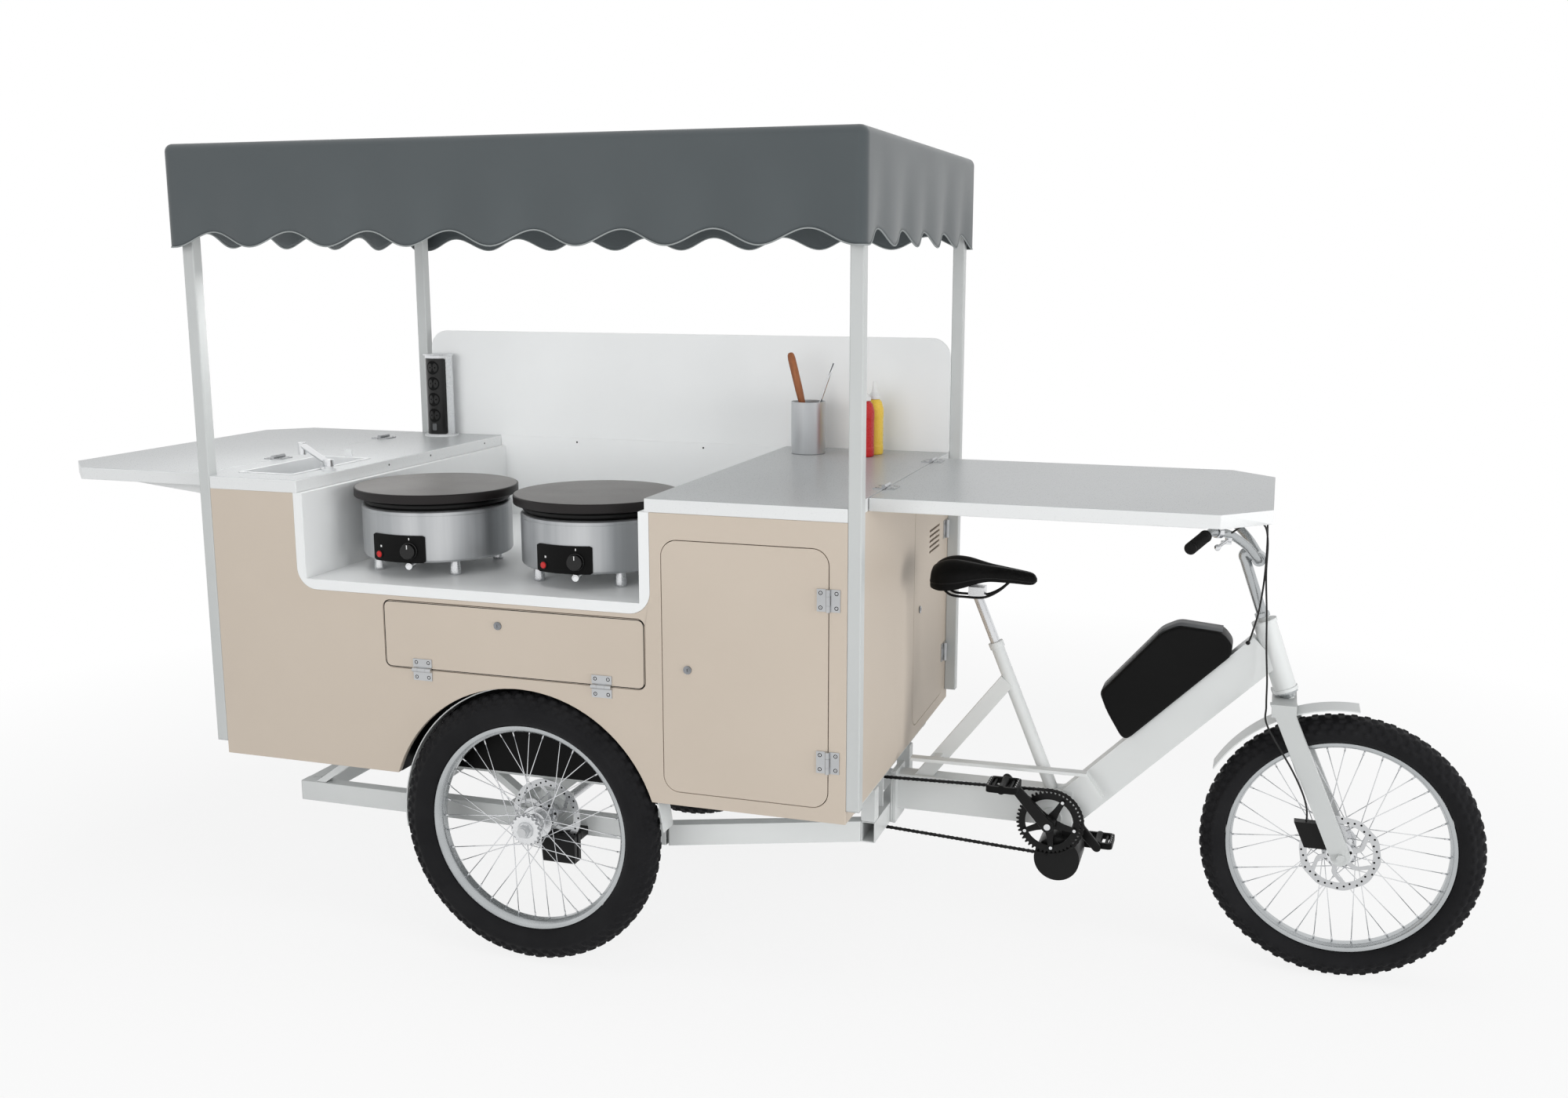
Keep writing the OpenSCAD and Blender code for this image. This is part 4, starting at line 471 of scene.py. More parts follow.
# Handle wood: long streaks along the handle, darker in the pores
def addWood():
    w = woodSet
    material, tree, shader, coord = blank("handleWood")
    streak = noise(tree, coord.outputs["Object"], w["streak"], 6, w["streakStretch"])
    pores = noise(tree, coord.outputs["Object"], w["pores"], 2, w["poreStretch"])
    base = mixed(tree, spread(tree, streak, 0, 1), w["light"], w["dark"])
    tone = mixed(tree, spread(tree, pores, *w["poreShow"]), base, w["pore"])
    tree.links.new(tone, shader.inputs["Base Color"])
    tree.links.new(spread(tree, pores, *w["rough"]), shader.inputs["Roughness"])
    bumped(tree, shader, pores, w["bump"], w["depth"])
    finishes["handleWood"] = (material, None)


# height of each top face in metres, and the tone below it: the worktop's grey top over white edges is its
# own finish; the cast iron plate's lighter top over near-black sides is a painted sheen
topTonesAndSheen = {"worktop": (1.3, (0.76, 0.77, 0.77)), "castIron": (1.262, (0.010, 0.008, 0.008))}
topFade = (0.0008, 0.0004)      # start and end of the change below a top face, metres


# A finish whose upper face differs from the rest, told apart by height in metres: a two-tone worktop, and a
# painted sheen on the top of the cast iron plate
def addTopToneAndSheen(name, level, below):
    tree = finishes[name][0].node_tree
    shader = tree.nodes["Principled BSDF"]
    split = tree.nodes.new("ShaderNodeSeparateXYZ")
    coord = tree.nodes.new("ShaderNodeTexCoord")
    tree.links.new(coord.outputs["Object"], split.inputs[0])
    above = spread(tree, split.outputs["Z"], 0, 1, *(level - fade for fade in topFade))
    top = shader.inputs["Base Color"].links[0].from_socket
    tree.links.new(mixed(tree, above, below, top), shader.inputs["Base Color"])


clothSet = {
    "tone": (0.062, 0.074, 0.079), "second": (0.053, 0.064, 0.069), "thread": (0.080, 0.093, 0.098),
    "threads": 210, "waver": 0.6, "fade": 2.4, "rough": (0.36, 0.46), "sheen": 0.3, "sheenRough": 0.4,
    "threadShow": (0, 0.35, 0.2, 1.8), "bump": 0.25, "depth": 0.0003,
}


# Canopy cloth: two sets of threads across each other, faded in soft patches
def addCloth():
    c = clothSet
    material, tree, shader, coord = blank("canopyCloth")
    threads = []
    for direction in ("X", "Y"):
        wave = tree.nodes.new("ShaderNodeTexWave")
        wave.bands_direction = direction
        wave.inputs["Scale"].default_value = c["threads"]
        wave.inputs["Distortion"].default_value = c["waver"]
        tree.links.new(coord.outputs["UV"], wave.inputs["Vector"])
        threads.append(wave.outputs["Fac"])
    weave = combined(tree, "ADD", *threads)
    fade = noise(tree, coord.outputs["Object"], c["fade"], 6)
    base = mixed(tree, spread(tree, fade, 0, 1), c["tone"], c["second"])
    tone = mixed(tree, spread(tree, weave, *c["threadShow"]), base, c["thread"])
    tree.links.new(tone, shader.inputs["Base Color"])
    tree.links.new(spread(tree, fade, *c["rough"]), shader.inputs["Roughness"])
    shader.inputs["Sheen Weight"].default_value = c["sheen"]
    shader.inputs["Sheen Roughness"].default_value = c["sheenRough"]
    bumped(tree, shader, weave, c["bump"], c["depth"])
    finishes["canopyCloth"] = (material, "slate_cloth")


addWood()
for finishName, (level, below) in topTonesAndSheen.items():
    addTopToneAndSheen(finishName, level, below)
addCloth()
print("finishes made")


cableSet = {
    "radius": 2.5, "sides": 12, "steps": 8, "bendFrom": (1894, -34, 1150), "bendTo": (1862, -30, 906),
    "front": [[1806, -132, 1210], [1846, -96, 1232], [1882, -56, 1224], [1895, -44, 1180],
        [1896, -42, 1090], [1903, -44, 990], [1908, -48, 890], [1914, -56, 812], [1916, -84, 750],
        [1922, -98, 700], [1988, -98, 590], [2018, -98, 530], [2030, -90, 492], [2034, -70, 462],
        [2034, -66, 441]],
    "rear": [[1806, 132, 1210], [1850, 92, 1234], [1886, 30, 1230], [1893, -22, 1200],
        [1894, -34, 1130], [1891, -36, 1060], [1883, -40, 990], [1872, -38, 940], [1866, -34, 916],
        [1860.5, -30, 901.5]],
}


# Brake cables: round tubes along smooth curves through the points; the rear one spans steering and frame
def makeCables():
    c = cableSet
    for tag, ref, body in (("front", (0.2, 1, 0.1), "steering"), ("rear", (1, 0.1, 0.1), None)):
        path = smoothPath(c[tag], c["steps"])
        cable = tube(tag + "BrakeCable", path, c["radius"], "blackGloss", body, c["sides"], ref)
        if not body:
            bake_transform(cable)
        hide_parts("brake_cables")


makeCables()
print("cables laid")


# CAD nodes that keep their shape get their finish, and slim bevels where their edges catch light
nodeFinish = {
    "whitePaint": ["chassis", "bike_frame", "axle_carriers", "rear_guards", "front_mudguard"],
    # darker white: painted shade on the fork, a greyer white on the roof posts
    "greyerPaintAndShade": ["roof_frame", "fork"],
    "sinkSteel": ["sink_fittings"],
    "beigeBoard": ["box_panels", "side_door", "drop_door", "front_door"],
    "whiteBoard": ["inner_panels", "recess_tub", "backsplash"],
    "worktop": ["counters", "rear_table", "front_table"],
    "steel": ["rear_axle"],
    "hingeSteel": ["hinge_leaves", "side_door_hinges", "drop_door_hinges", "front_door_hinges",
                   "rear_table_hinges", "front_table_hinges"],
    "lockSteel": ["side_door_lock", "drop_door_lock", "front_door_lock"],
    "chrome": ["faucet_spout", "brake_lever_right", "brake_lever_left"],
    "alloy": ["seatpost"],
    "blackMetal": ["rear_calipers", "front_caliper", "motor"],
    "blackPlastic": ["wheel_arches"],
    "tankPlastic": ["water_tanks"],
}
edgeWidth = {
    "box_panels": 1.5, "side_door": 1.8, "drop_door": 1.8, "front_door": 1.8, "counters": 2.0,
    "rear_table": 2.5, "front_table": 2.5, "backsplash": 1.5, "chassis": 3.0, "roof_frame": 3.0,
    "bike_frame": 4.0, "fork": 3.0, "recess_tub": 1.5, "rear_guards": 1.0, "rear_calipers": 3.0,
    "front_caliper": 3.0, "motor": 4.0, "axle_carriers": 1.5,
}
weldGap = 0.00001       # loose CAD triangles are merged within this, metres


def dressNodes():
    for finish, nodes in nodeFinish.items():
        material, slotName = finishes[finish]
        for name in nodes:
            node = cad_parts[name]
            node.data.materials.clear()
            node.data.materials.append(material)
            if name in edgeWidth:
                node.modifiers.new("weld", "WELD").merge_threshold = weldGap
                crisp(node, edgeWidth[name])


dressNodes()
print("CAD nodes dressed")


canopySet = {
    "length": 1950, "width": 1284, "top": 2197, "hemLow": 1926, "hemRise": 39, "fold": 10.5, "edge": 22,
    "corner": 24, "longWaves": 8, "endWaves": 5, "perWave": 26, "sag": 7, "roofRows": 25, "edgeRows": 6,
    "hangRows": 21, "cornerRows": 7, "foldPower": 1.15, "cloth": 1.4, "piping": 1.9,
}


# Points (u, v) of one side turned to the side that faces the angle
def sidePoints(u, v, angle):
    c, s = math.cos(angle), math.sin(angle)
    return np.stack([u * c + v * s, u * s - v * c], 1)


# Rectangle run with small round corners; wave runs 0..1..0 along each hem scallop and is 0 at the corners
def canopyOutline():
    c = canopySet
    hx, hy, r = c["length"] / 2, c["width"] / 2, c["corner"]
    bend = np.linspace(0, quarterTurn, c["cornerRows"])[1:-1]
    xy, out, wave = [], [], []
    for k, (half, far, waves) in enumerate([(hx, hy, c["longWaves"]), (hy, hx, c["endWaves"])] * 2):
        t = np.linspace(0, 1, waves * c["perWave"] + 1)
        run = np.concatenate([(2 * t - 1) * (half - r), half - r + r * np.sin(bend)])
        away = np.concatenate([np.full(len(t), far), far - r + r * np.cos(bend)])
        nx = np.concatenate([np.zeros(len(t)), np.sin(bend)])
        ny = np.concatenate([np.ones(len(t)), np.cos(bend)])
        xy.append(sidePoints(run, away, k * quarterTurn))
        out.append(sidePoints(nx, ny, k * quarterTurn))
        wave.append(np.concatenate([0.5 - 0.5 * np.cos(fullTurn * waves * t), np.zeros(len(bend))]))
    return np.vstack(xy), np.vstack(out), np.concatenate(wave)


# Cloth: the outline shrinks to the middle over the roof with a sine sag in each bay, rolls over the edge in
# a quarter circle, then hangs straight and folds in by the wave towards the hem
def canopyRows():
    c = canopySet
    xy, out, wave = canopyOutline()
    rows = []
    for share in np.linspace(0, 1, c["roofRows"] + 1)[1:]:
        inner = (xy - out * c["edge"]) * share
        bay = np.abs(np.sin(fullTurn * inner[:, 0] / c["length"]))
        bay = bay * np.cos(np.pi * inner[:, 1] / c["width"])
        rows.append(np.column_stack([inner, c["top"] - c["sag"] * bay.clip(0)]))
    for a in np.linspace(0, quarterTurn, c["edgeRows"] + 1)[1:]:
        level = np.full(len(xy), c["top"] - c["edge"] * (1 - math.cos(a)))
        rows.append(np.column_stack([xy - out * c["edge"] * (1 - math.sin(a)), level]))
    start = c["top"] - c["edge"]
    hem = c["hemLow"] + c["hemRise"] * wave
    for t in np.linspace(0, 1, c["hangRows"] + 1)[1:]:
        inwards = out * (c["fold"] * wave * t ** c["foldPower"])[:, None]
        rows.append(np.column_stack([xy - inwards, start + (hem - start) * t]))
    return np.array(rows)


# Values of a mesh's items as an array with the given width
def readArray(items, key, width, kind=float):
    values = np.zeros(len(items) * width, kind)
    items.foreach_get(key, values)
    return values.reshape(-1, width)


# Weave map: each face is laid flat along the axis that it faces most
def mapWeave(mesh):
    normal = np.abs(readArray(mesh.polygons, "normal", 3))
    n = np.repeat(normal, readArray(mesh.polygons, "loop_total", 1, int)[:, 0], axis=0)
    p = readArray(mesh.vertices, "co", 3)[readArray(mesh.loops, "vertex_index", 1, int)[:, 0]]
    u = np.where(n[:, 0] > np.maximum(n[:, 1], n[:, 2]), p[:, 1], p[:, 0])
    v = np.where(n[:, 2] > np.maximum(n[:, 0], n[:, 1]), p[:, 1], p[:, 2])
    mesh.uv_layers.new(name="weave").data.foreach_set("uv", np.stack([u, v], 1).ravel())


# Canopy: rows of cloth from a middle point down to the hem, thickened, with piping along the hem
def makeCanopy():
    c = canopySet
    rows = canopyRows()
    middle = np.broadcast_to(np.array([0, 0, c["top"]]), (1,) + rows.shape[1:])
    grid = place(np.concatenate([middle, rows]))
    cloth = gridMesh("canopyCloth", grid, "canopyCloth", "cart", wrapCols=True)
    if cloth.data.polygons[0].normal.z < 0:
        cloth.data.flip_normals()
    mapWeave(cloth.data)
    thicken(cloth, "cloth", c["cloth"], -1)
    hem = np.vstack([rows[-1], rows[-1][:1]])
    piping = gridMesh("hemPiping", tubePoints(hem, c["piping"], 8, (0.05, 0.03, 1))[:-1], "piping", "cart",
                      wrapRows=True, wrapCols=True)
    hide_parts("canopy")


makeCanopy()
print("canopy hung")


rearWheel = {"centre": (33, 378), "radius": 378, "section": 48, "tread": 0}
wheelPlaces = {
    "front": {"node": "front_wheel", "body": "front_wheel", "centre": (2122, 360), "y": 0, "radius": 360,
              "section": 36, "tread": 10, "hub": (-62.4, 62.4), "flanges": (-36, 36), "disc": (-59.3, -57),
              "out": -1},
    "rearRight": {**rearWheel, "node": "rear_wheel_right", "body": "rear_axle", "y": -580,
                  "hub": (-618, -486), "flanges": (-608, -550), "disc": (-491.3, -489), "out": -1},
    "rearLeft": {**rearWheel, "node": "rear_wheel_left", "body": "left_wheel", "y": 580,
                 "hub": (486, 618), "flanges": (550, 608), "disc": (489, 491.3), "out": 1},
}

# tread blocks: place across the tread, width, share of the pitch, shift by pitches
tyreSet = {
    "knobHigh": 5.0, "pitches": 68, "perPitch": 10, "wall": 7, "beadHalf": 24, "columns": 61,
    "blocks": ((0, 15, 0.5, 0.0), (20, 15, 0.52, 0.5), (-20, 15, 0.52, 0.5), (42, 17, 0.5, 0.0),
        (-42, 17, 0.5, 0.0), (62, 13, 0.42, 0.5), (-62, 13, 0.42, 0.5)),
    "blockSoft": 1.2, "pitchSoft": 0.06, "wallRibs": ((0.6, 1.95, 0.035), (0.5, 1.75, 0.03)),
    "treadEnd": 1.5, "treadFade": 0.3, "flatTurn": 0.35, "outside": 6,
}


# Bump of a width about the middle of each period, its sides straight ramps
def pulse(t, width, soft):
    off = np.abs((t + 0.5) % 1 - 0.5)
    return np.clip((width / 2 + soft - off) / (2 * soft), 0, 1)


# Tyre: a round section of angle phi carried round the wheel; blocks raise its tread, bell curves its walls
def makeTyre(tag, w):
    s = tyreSet
    section, tread = w["section"], w["tread"]
    around = np.linspace(0, 1, s["pitches"] * s["perPitch"], endpoint=False)[:, None]
    bead = math.acos(-math.sqrt(1 - ((s["beadHalf"] - tread) / section) ** 2))
    phi = np.linspace(-bead, bead, s["columns"])
    run = phi * (section + s["outside"])
    knobs = np.zeros((len(around), len(phi)))
    for at, width, length, shift in s["blocks"]:
        across = np.clip((width / 2 + s["blockSoft"] - np.abs(run - at)) / (2 * s["blockSoft"]), 0, 1)
        knobs = np.maximum(knobs, across * pulse(around * s["pitches"] + shift, length, s["pitchSoft"]))
    ribs = sum(high * np.exp(-((np.abs(phi) - at) / wide) ** 2) for high, at, wide in s["wallRibs"])
    crown = np.clip((s["treadEnd"] - np.abs(phi)) / s["treadFade"], 0, 1)
    outer = section + s["knobHigh"] * (knobs - crown) + ribs
    back = phi[::-4]
    inner = np.full((len(around), len(back)), float(section - s["wall"]))
    angle = np.concatenate([phi, back])
    reach = np.hstack([outer, inner])
    side = np.sin(angle) * reach + np.clip(angle / s["flatTurn"], -1, 1) * tread
    lift = np.cos(angle) * reach + (w["radius"] - section)
    pts = roundPoints(w["centre"], lift, around * fullTurn, w["y"] + side)
    tyre = gridMesh(tag + "Tyre", place(pts), "rubber", w["body"], wrapRows=True, wrapCols=True)
    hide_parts(w["node"].replace("wheel", "tyre"))


wheelSet = {
    "rimHalf": 25, "rimGap": 0.6, "rimDeep": 14, "spokes": 36, "lead": 62, "spokeRadius": 1.3,
    "spokeRing": 43, "headRing": 42, "flangeOut": 3.6, "rimOut": 3.9, "rimBite": 1.5, "nipple": 15,
    "nippleRadius": 2.3, "discRadius": 101.5, "discInner": 82, "discWaves": 10, "discWave": 0.012,
    "arms": 6, "arm": ((28, 0), (58, 0.20), (84, 0.62), (84, 0.78), (56, 0.42), (28, 0.42)), "holes": 36,
    "holeRings": (96, 91.5, 87), "bolts": 6, "boltRing": 27, "boltTurn": 0.2, "carrier": 1.2,
    "carrierRing": (20, 34), "armGap": 0.1, "armEdge": 0.3,
    "spokeHead": [[0.01, 1.8], [1.6, 1.5], [2.2, 0.4], [2.2, -3.0], [0.01, -3.0]],
    "hole": [[0.01, 0.15], [2.9, 0.15], [2.9, -0.1], [0.01, -0.1]],
    "bolt": [[0.01, 2.4], [3.2, 2.4], [4.2, 1.2], [4.2, -0.5]],
}


# Rim and hub: profiles (radius, place along the axle) turned about the axle
def makeRim(tag, w):
    section, half = w["section"], wheelSet["rimHalf"]
    x, z = w["centre"]
    gap = wheelSet["rimGap"]
    top = w["radius"] - section - math.sqrt(section ** 2 - (half - w["tread"]) ** 2) - gap
    floor = w["radius"] - 2 * section - gap
    low = floor - wheelSet["rimDeep"]
    shape = [[top, -half], [top - 2.5, -23.5], [floor, -12], [floor, 12], [top - 2.5, 23.5], [top, half],
             [top - 11, 25.4], [low + 2, 14], [low, 10], [low, -10], [low + 2, -14], [top - 11, -25.4]]
    rim = turned(tag + "Rim", softLoop(shape, 4, 3), [x, w["y"], z], "rimAlloy", w["body"], acrossCart, 144,
                 closed=True)
    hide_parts(w["node"])
    h0, h1 = w["hub"]
    f0, f1 = w["flanges"]
    hub = [[8, h0], [17, h0], [19, h0 + 6], [19, f0 - 12], [24, f0 - 4], [45, f0 - 2], [45, f0 + 2],
           [26, f0 + 5], [20, f0 + 14], [20, f1 - 14], [26, f1 - 5], [45, f1 - 2], [45, f1 + 2],
           [24, f1 + 4], [21, h1 - 2], [8, h1]]
    turned(tag + "Hub", softened(hub, 2.5, 3), [x, 0, z], "alloy", w["body"], acrossCart, 64)
    return low


# Spokes: straight rods from the flanges, alternately leading and trailing, to equal steps round the rim
def makeSpokes(tag, w, rimLow):
    s, body, centre = wheelSet, w["body"], w["centre"]
    k = np.arange(s["spokes"])
    far = k % 2
    turn = fullTurn * k / s["spokes"]
    lead = np.where((k // 2) % 2 == 0, 1, -1) * math.radians(s["lead"])
    out = np.where(far == 0, -1, 1)
    flange = np.where(far == 0, *w["flanges"]) + out * s["flangeOut"]
    starts = roundPoints(centre, s["spokeRing"], turn + lead, flange)
    ends = roundPoints(centre, rimLow + s["rimBite"], turn, w["y"] + out * s["rimOut"])
    rods(tag + "Spokes", starts, ends, s["spokeRadius"], "chrome", body)
    rods(tag + "Nipples", ends + unit(starts - ends) * s["nipple"], ends, s["nippleRadius"], "alloy", body)
    heads = roundPoints(centre, s["headRing"], turn + lead, flange)
    turned(tag + "SpokeHeads", s["spokeHead"], heads, "steel", body, acrossCart, 8)


# Brake disc: a ring whose outer radius ripples by a sine, on swept arms, with its holes drawn as thin dark
# discs of painted shade and bolts outside
def makeDisc(tag, w):
    s, body, centre = wheelSet, w["body"], w["centre"]
    hubSpot = [centre[0], 0, centre[1]]
    d0, d1 = w["disc"]
    outside = (0, w["out"], 0)
    face = d0 if w["out"] < 0 else d1
    ring = corners(s["discInner"], s["discRadius"], d0, d1)
    waves = lambda a, v: 1 + s["discWave"] * np.sin(a * s["discWaves"]) * np.isin(v, (1, 2))
    turned(tag + "Disc", ring, hubSpot, "steel", body, acrossCart, 150, waves, closed=True, smooth=False)
    radius, angle = np.array(s["arm"]).T
    outline = softLoop(np.stack([radius * np.cos(angle), radius * np.sin(angle)], 1), 9, 3)
    low, high = d0 + s["armGap"], d1 - s["armGap"]
    arms = [slabPoints(spun(outline, fullTurn * n / s["arms"], centre), low, high, s["armEdge"], "xzy", 1)
            for n in range(s["arms"])]
    gridMesh(tag + "DiscArms", place(np.array(arms)), "steel", body, wrapCols=True, caps=True, smooth=False)
    carrier = rectangle(*s["carrierRing"], d0 - s["carrier"], d1 + s["carrier"], 0.8, 2)
    turned(tag + "DiscCarrier", carrier, hubSpot, "alloy", body, acrossCart, 48, closed=True)
    # each hole is a thin dark disc on the face of the disc: painted shade
    spot = np.linspace(0, fullTurn, s["holes"], endpoint=False)
    reach = np.array(s["holeRings"])[np.arange(s["holes"]) % len(s["holeRings"])]
    holes = roundPoints(centre, reach, spot, face)
    turned(tag + "DiscHoles", s["hole"], holes, "holeShade", body, outside, 12)
    bolt = np.linspace(0, fullTurn, s["bolts"], endpoint=False) + s["boltTurn"]
    bolts = roundPoints(centre, s["boltRing"], bolt, face + w["out"] * s["carrier"])
    turned(tag + "DiscBolts", softened(s["bolt"], 0.6, 2), bolts, "blackMetal", body, outside, 12)


hubCapSet = {
    "shape": [[14, 612], [41, 612], [42, 615], [40, 619.4], [24, 620], [20, 617.6], [14, 617.6]],
    "toothed": 36, "teeth": 18, "toothHigh": 0.06, "toothSharp": 6,
}


# Cover ring on a rear hub: its outer radius steps in and out by a squared-off sine
def makeHubCap(tag, w):
    c = hubCapSet
    x, z = w["centre"]
    shape = softened(c["shape"], 0.8, 2)
    wave = lambda a: c["toothHigh"] * np.tanh(c["toothSharp"] * np.sin(a * c["teeth"]))
    teeth = lambda a, v: np.where(shape[v, 0] > c["toothed"], 1 + wave(a), 1.0)
    turned(tag + "HubCover", shape, [x, 0, z], "alloy", w["body"], (0, w["out"], 0), 216, teeth)


for tag, wheel in wheelPlaces.items():
    makeTyre(tag, wheel)
    rimLow = makeRim(tag, wheel)
    makeSpokes(tag, wheel, rimLow)
    makeDisc(tag, wheel)
for tag in ("rearRight", "rearLeft"):
    makeHubCap(tag, wheelPlaces[tag])
print("wheels built")


griddleSet = {
    "rear": (-385, -302), "front": (120, -302), "plate": 231, "drum": 211, "face": 216, "floor": 1027,
    "drumLow": 1070, "drumHigh": 1213, "plateLow": 1235, "plateTop": 1262, "dash": (-114, -69),
    "dashZ": (1071, 1147), "knobTurn": -81, "knobZ": 1105, "knobOut": 17.3, "knobGap": 0.3,
    "pointerUp": 13, "dialMarkUp": 33, "flutes": 24, "fluteDeep": 0.012, "fluteFrom": 5, "fluteTo": 15,
    "lampTurn": -107, "lampZ": 1090, "markTurn": -105.5, "markZ": 1113, "gap": 0.2, "footSpread": 122,
    "studIn": 191, "studDrop": 7.4, "lampMark": (2.8, 2.8), "dialMark": (1.4, 3.2), "pointer": (1.2, 5.5),
    "markDepth": (-0.4, 0.25),
    "foot": [[0.01, 0], [12, 0], [15.5, 2], [16, 6], [12.5, 43], [0.01, 43]],
    "lampRing": [[8, 0], [11, 0], [11, 2], [9.6, 2.8], [8, 1.5]],
    "lamp": [[9.2, 0.2], [9.2, 4.6], [8.2, 6.0], [5.6, 6.9], [2.6, 7.3], [0.01, 7.4]],
    "knob": [[0.01, 17.3], [19.5, 17.3], [21.2, 15.6], [21.6, 5.2], [23.2, 4.2], [24, 3.2], [24, 0.3],
        [0.01, 0.3]],
    "stud": [[0.01, 0], [8, 0], [8, 27], [9.6, 27.4], [10, 28], [10, 32.4], [9.2, 33.4], [7, 33.4],
        [6.2, 32.4], [0.01, 32.4]],
}


# Curved plate on a drum: a grid of angle and height from an inner to an outer radius, its corners circles
def curvedPlate(name, centre, inner, outer, turn, zs, finish, body, corner=4, seg=24, chamfer=0.8):
    a = np.radians(np.linspace(turn[0], turn[1], seg))
    half = 0.5 * (zs[1] - zs[0])
    middle = 0.5 * (zs[0] + zs[1])
    step = abs(turn[1] - turn[0]) * math.pi / 180 * outer / (seg - 1)
    edge = np.minimum(np.arange(seg), np.arange(seg)[::-1]) * step
    pull = corner - np.sqrt(np.clip(corner ** 2 - np.clip(corner - edge, 0, None) ** 2, 0, None))
    levels = [(inner, half - pull), (outer - chamfer, half - pull), (outer, half - pull - chamfer)]
    loop = [(r, -h) for r, h in levels] + [(r, h) for r, h in levels[::-1]]
    columns = [np.stack([centre[0] + r * np.cos(a), centre[1] + r * np.sin(a), middle + h], -1)
               for r, h in loop]
    return gridMesh(name, place(np.stack(columns, 1)), finish, body, wrapCols=True, caps=True, smooth=False)


# Point on a drum at an angle in degrees, and the direction outwards there
def radial(centre, degrees, radius, z):
    a = math.radians(degrees)
    out = np.array([math.cos(a), math.sin(a), 0])
    return np.array([centre[0], centre[1], z]) + out * radius, out


# Small white printed tick on a dash or knob
def dashMark(name, spot, out, half, body):
    across = (-out[1], out[0], 0)
    thinPlate(name, spot, across, out, half, griddleSet["markDepth"], "whitePlastic", body)


# Plate, ring and drum: profiles (radius, height) turned about the griddle's upright axis
def makeDrum(name, centre):
    g = griddleSet
    spot = [*centre, 0]
    top, low, high, floor = g["plateTop"], g["plateLow"], g["drumHigh"], g["drumLow"]
    p, d = g["plate"], g["drum"]
    plateShape = [[0, top], [120, top], [p - 6, top], [p, top - 1.5], [p, low + 2], [p - 7, low],
                  [150, low], [0, low]]
    # the cast iron finish paints a sheen on the plate's top face
    plate = turned(name + "Plate", softened(plateShape, 3.5, 4), spot, "castIron", "cart", seg=128)
    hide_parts("griddle_plates")
    ringShape = [[150, low - 0.4], [200, low - 0.4], [206, low - 6], [206, high + 8], [199, high + 2],
                 [197, high + 0.3], [150, high + 0.3]]
    turned(name + "Ring", softened(ringShape, 2.5, 4), spot, "blackMetal", "cart", seg=128)
    drumShape = [[0, high - 3], [188, high - 3], [190, high], [206, high], [d, high - 4], [d, high - 12],
                 [d - 0.8, high - 13], [d, high - 14], [d, floor + 6], [d - 4, floor], [186, floor],
                 [0, floor]]
    drum = turned(name + "Drum", softened(drumShape, 1.5, 3), spot, "griddleSteel", "cart", seg=128)
    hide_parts("griddle_housings")
    reach = (-g["footSpread"], g["footSpread"])
    feet = [[centre[0] + dx, centre[1] + dy, g["floor"]] for dx in reach for dy in reach]
    turned(name + "Feet", softened(g["foot"], 1.5, 3), feet, "alloy", "cart", seg=32)


# Dash with lamp, ticks and a fluted knob whose radius ripples by a cosine
def makeDash(name, tag, centre):
    g, knobBody = griddleSet, "knob_" + tag
    curvedPlate(name + "Dash", centre, g["drum"] + g["gap"], g["face"], g["dash"], g["dashZ"],
                "blackPlastic", "cart")
    spot, out = radial(centre, g["lampTurn"], g["face"] + g["gap"], g["lampZ"])
    turned(name + "LampRing", softened(g["lampRing"], 0.6, 2), spot, "blackGloss", "cart", out, 32)
    turned(name + "Lamp", g["lamp"], spot, "redLamp", "cart", out, 10)
    dial, out = radial(centre, g["knobTurn"], g["face"] + g["knobGap"], g["knobZ"])
    up = np.array([0, 0, 1.0])
    mark, markOut = radial(centre, g["markTurn"], g["face"], g["markZ"])
    dashMark(name + "LampMark", mark, markOut, g["lampMark"], "cart")
    dialMark = dial - out * g["knobGap"] + up * g["dialMarkUp"]
    dashMark(name + "DialMark", dialMark, out, g["dialMark"], "cart")
    shape = softened(g["knob"], 1.0, 3)
    fluted = (shape[:, 1] > g["fluteFrom"]) & (shape[:, 1] < g["fluteTo"])
    flutes = lambda a, v: 1 + np.where(fluted[v], g["fluteDeep"] * np.cos(a * g["flutes"]), 0)
    knob = turned(name + "Knob", shape, dial, "blackGloss", knobBody, out, 144, flutes)
    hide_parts("griddle_knob_" + tag)
    pointer = dial + out * g["knobOut"] + up * g["pointerUp"]
    dashMark(name + "Pointer", pointer, out, g["pointer"], knobBody)
    foot, out = radial(centre, g["knobTurn"], g["studIn"], g["drumLow"] - g["studDrop"])
    turned(name + "Stud", softened(g["stud"], 0.5, 2), foot, "chrome", "cart", out, 24)


for tag in ("rear", "front"):
    makeDrum(tag + "Griddle", griddleSet[tag])
    makeDash(tag + "Griddle", tag, griddleSet[tag])
print("griddles set")


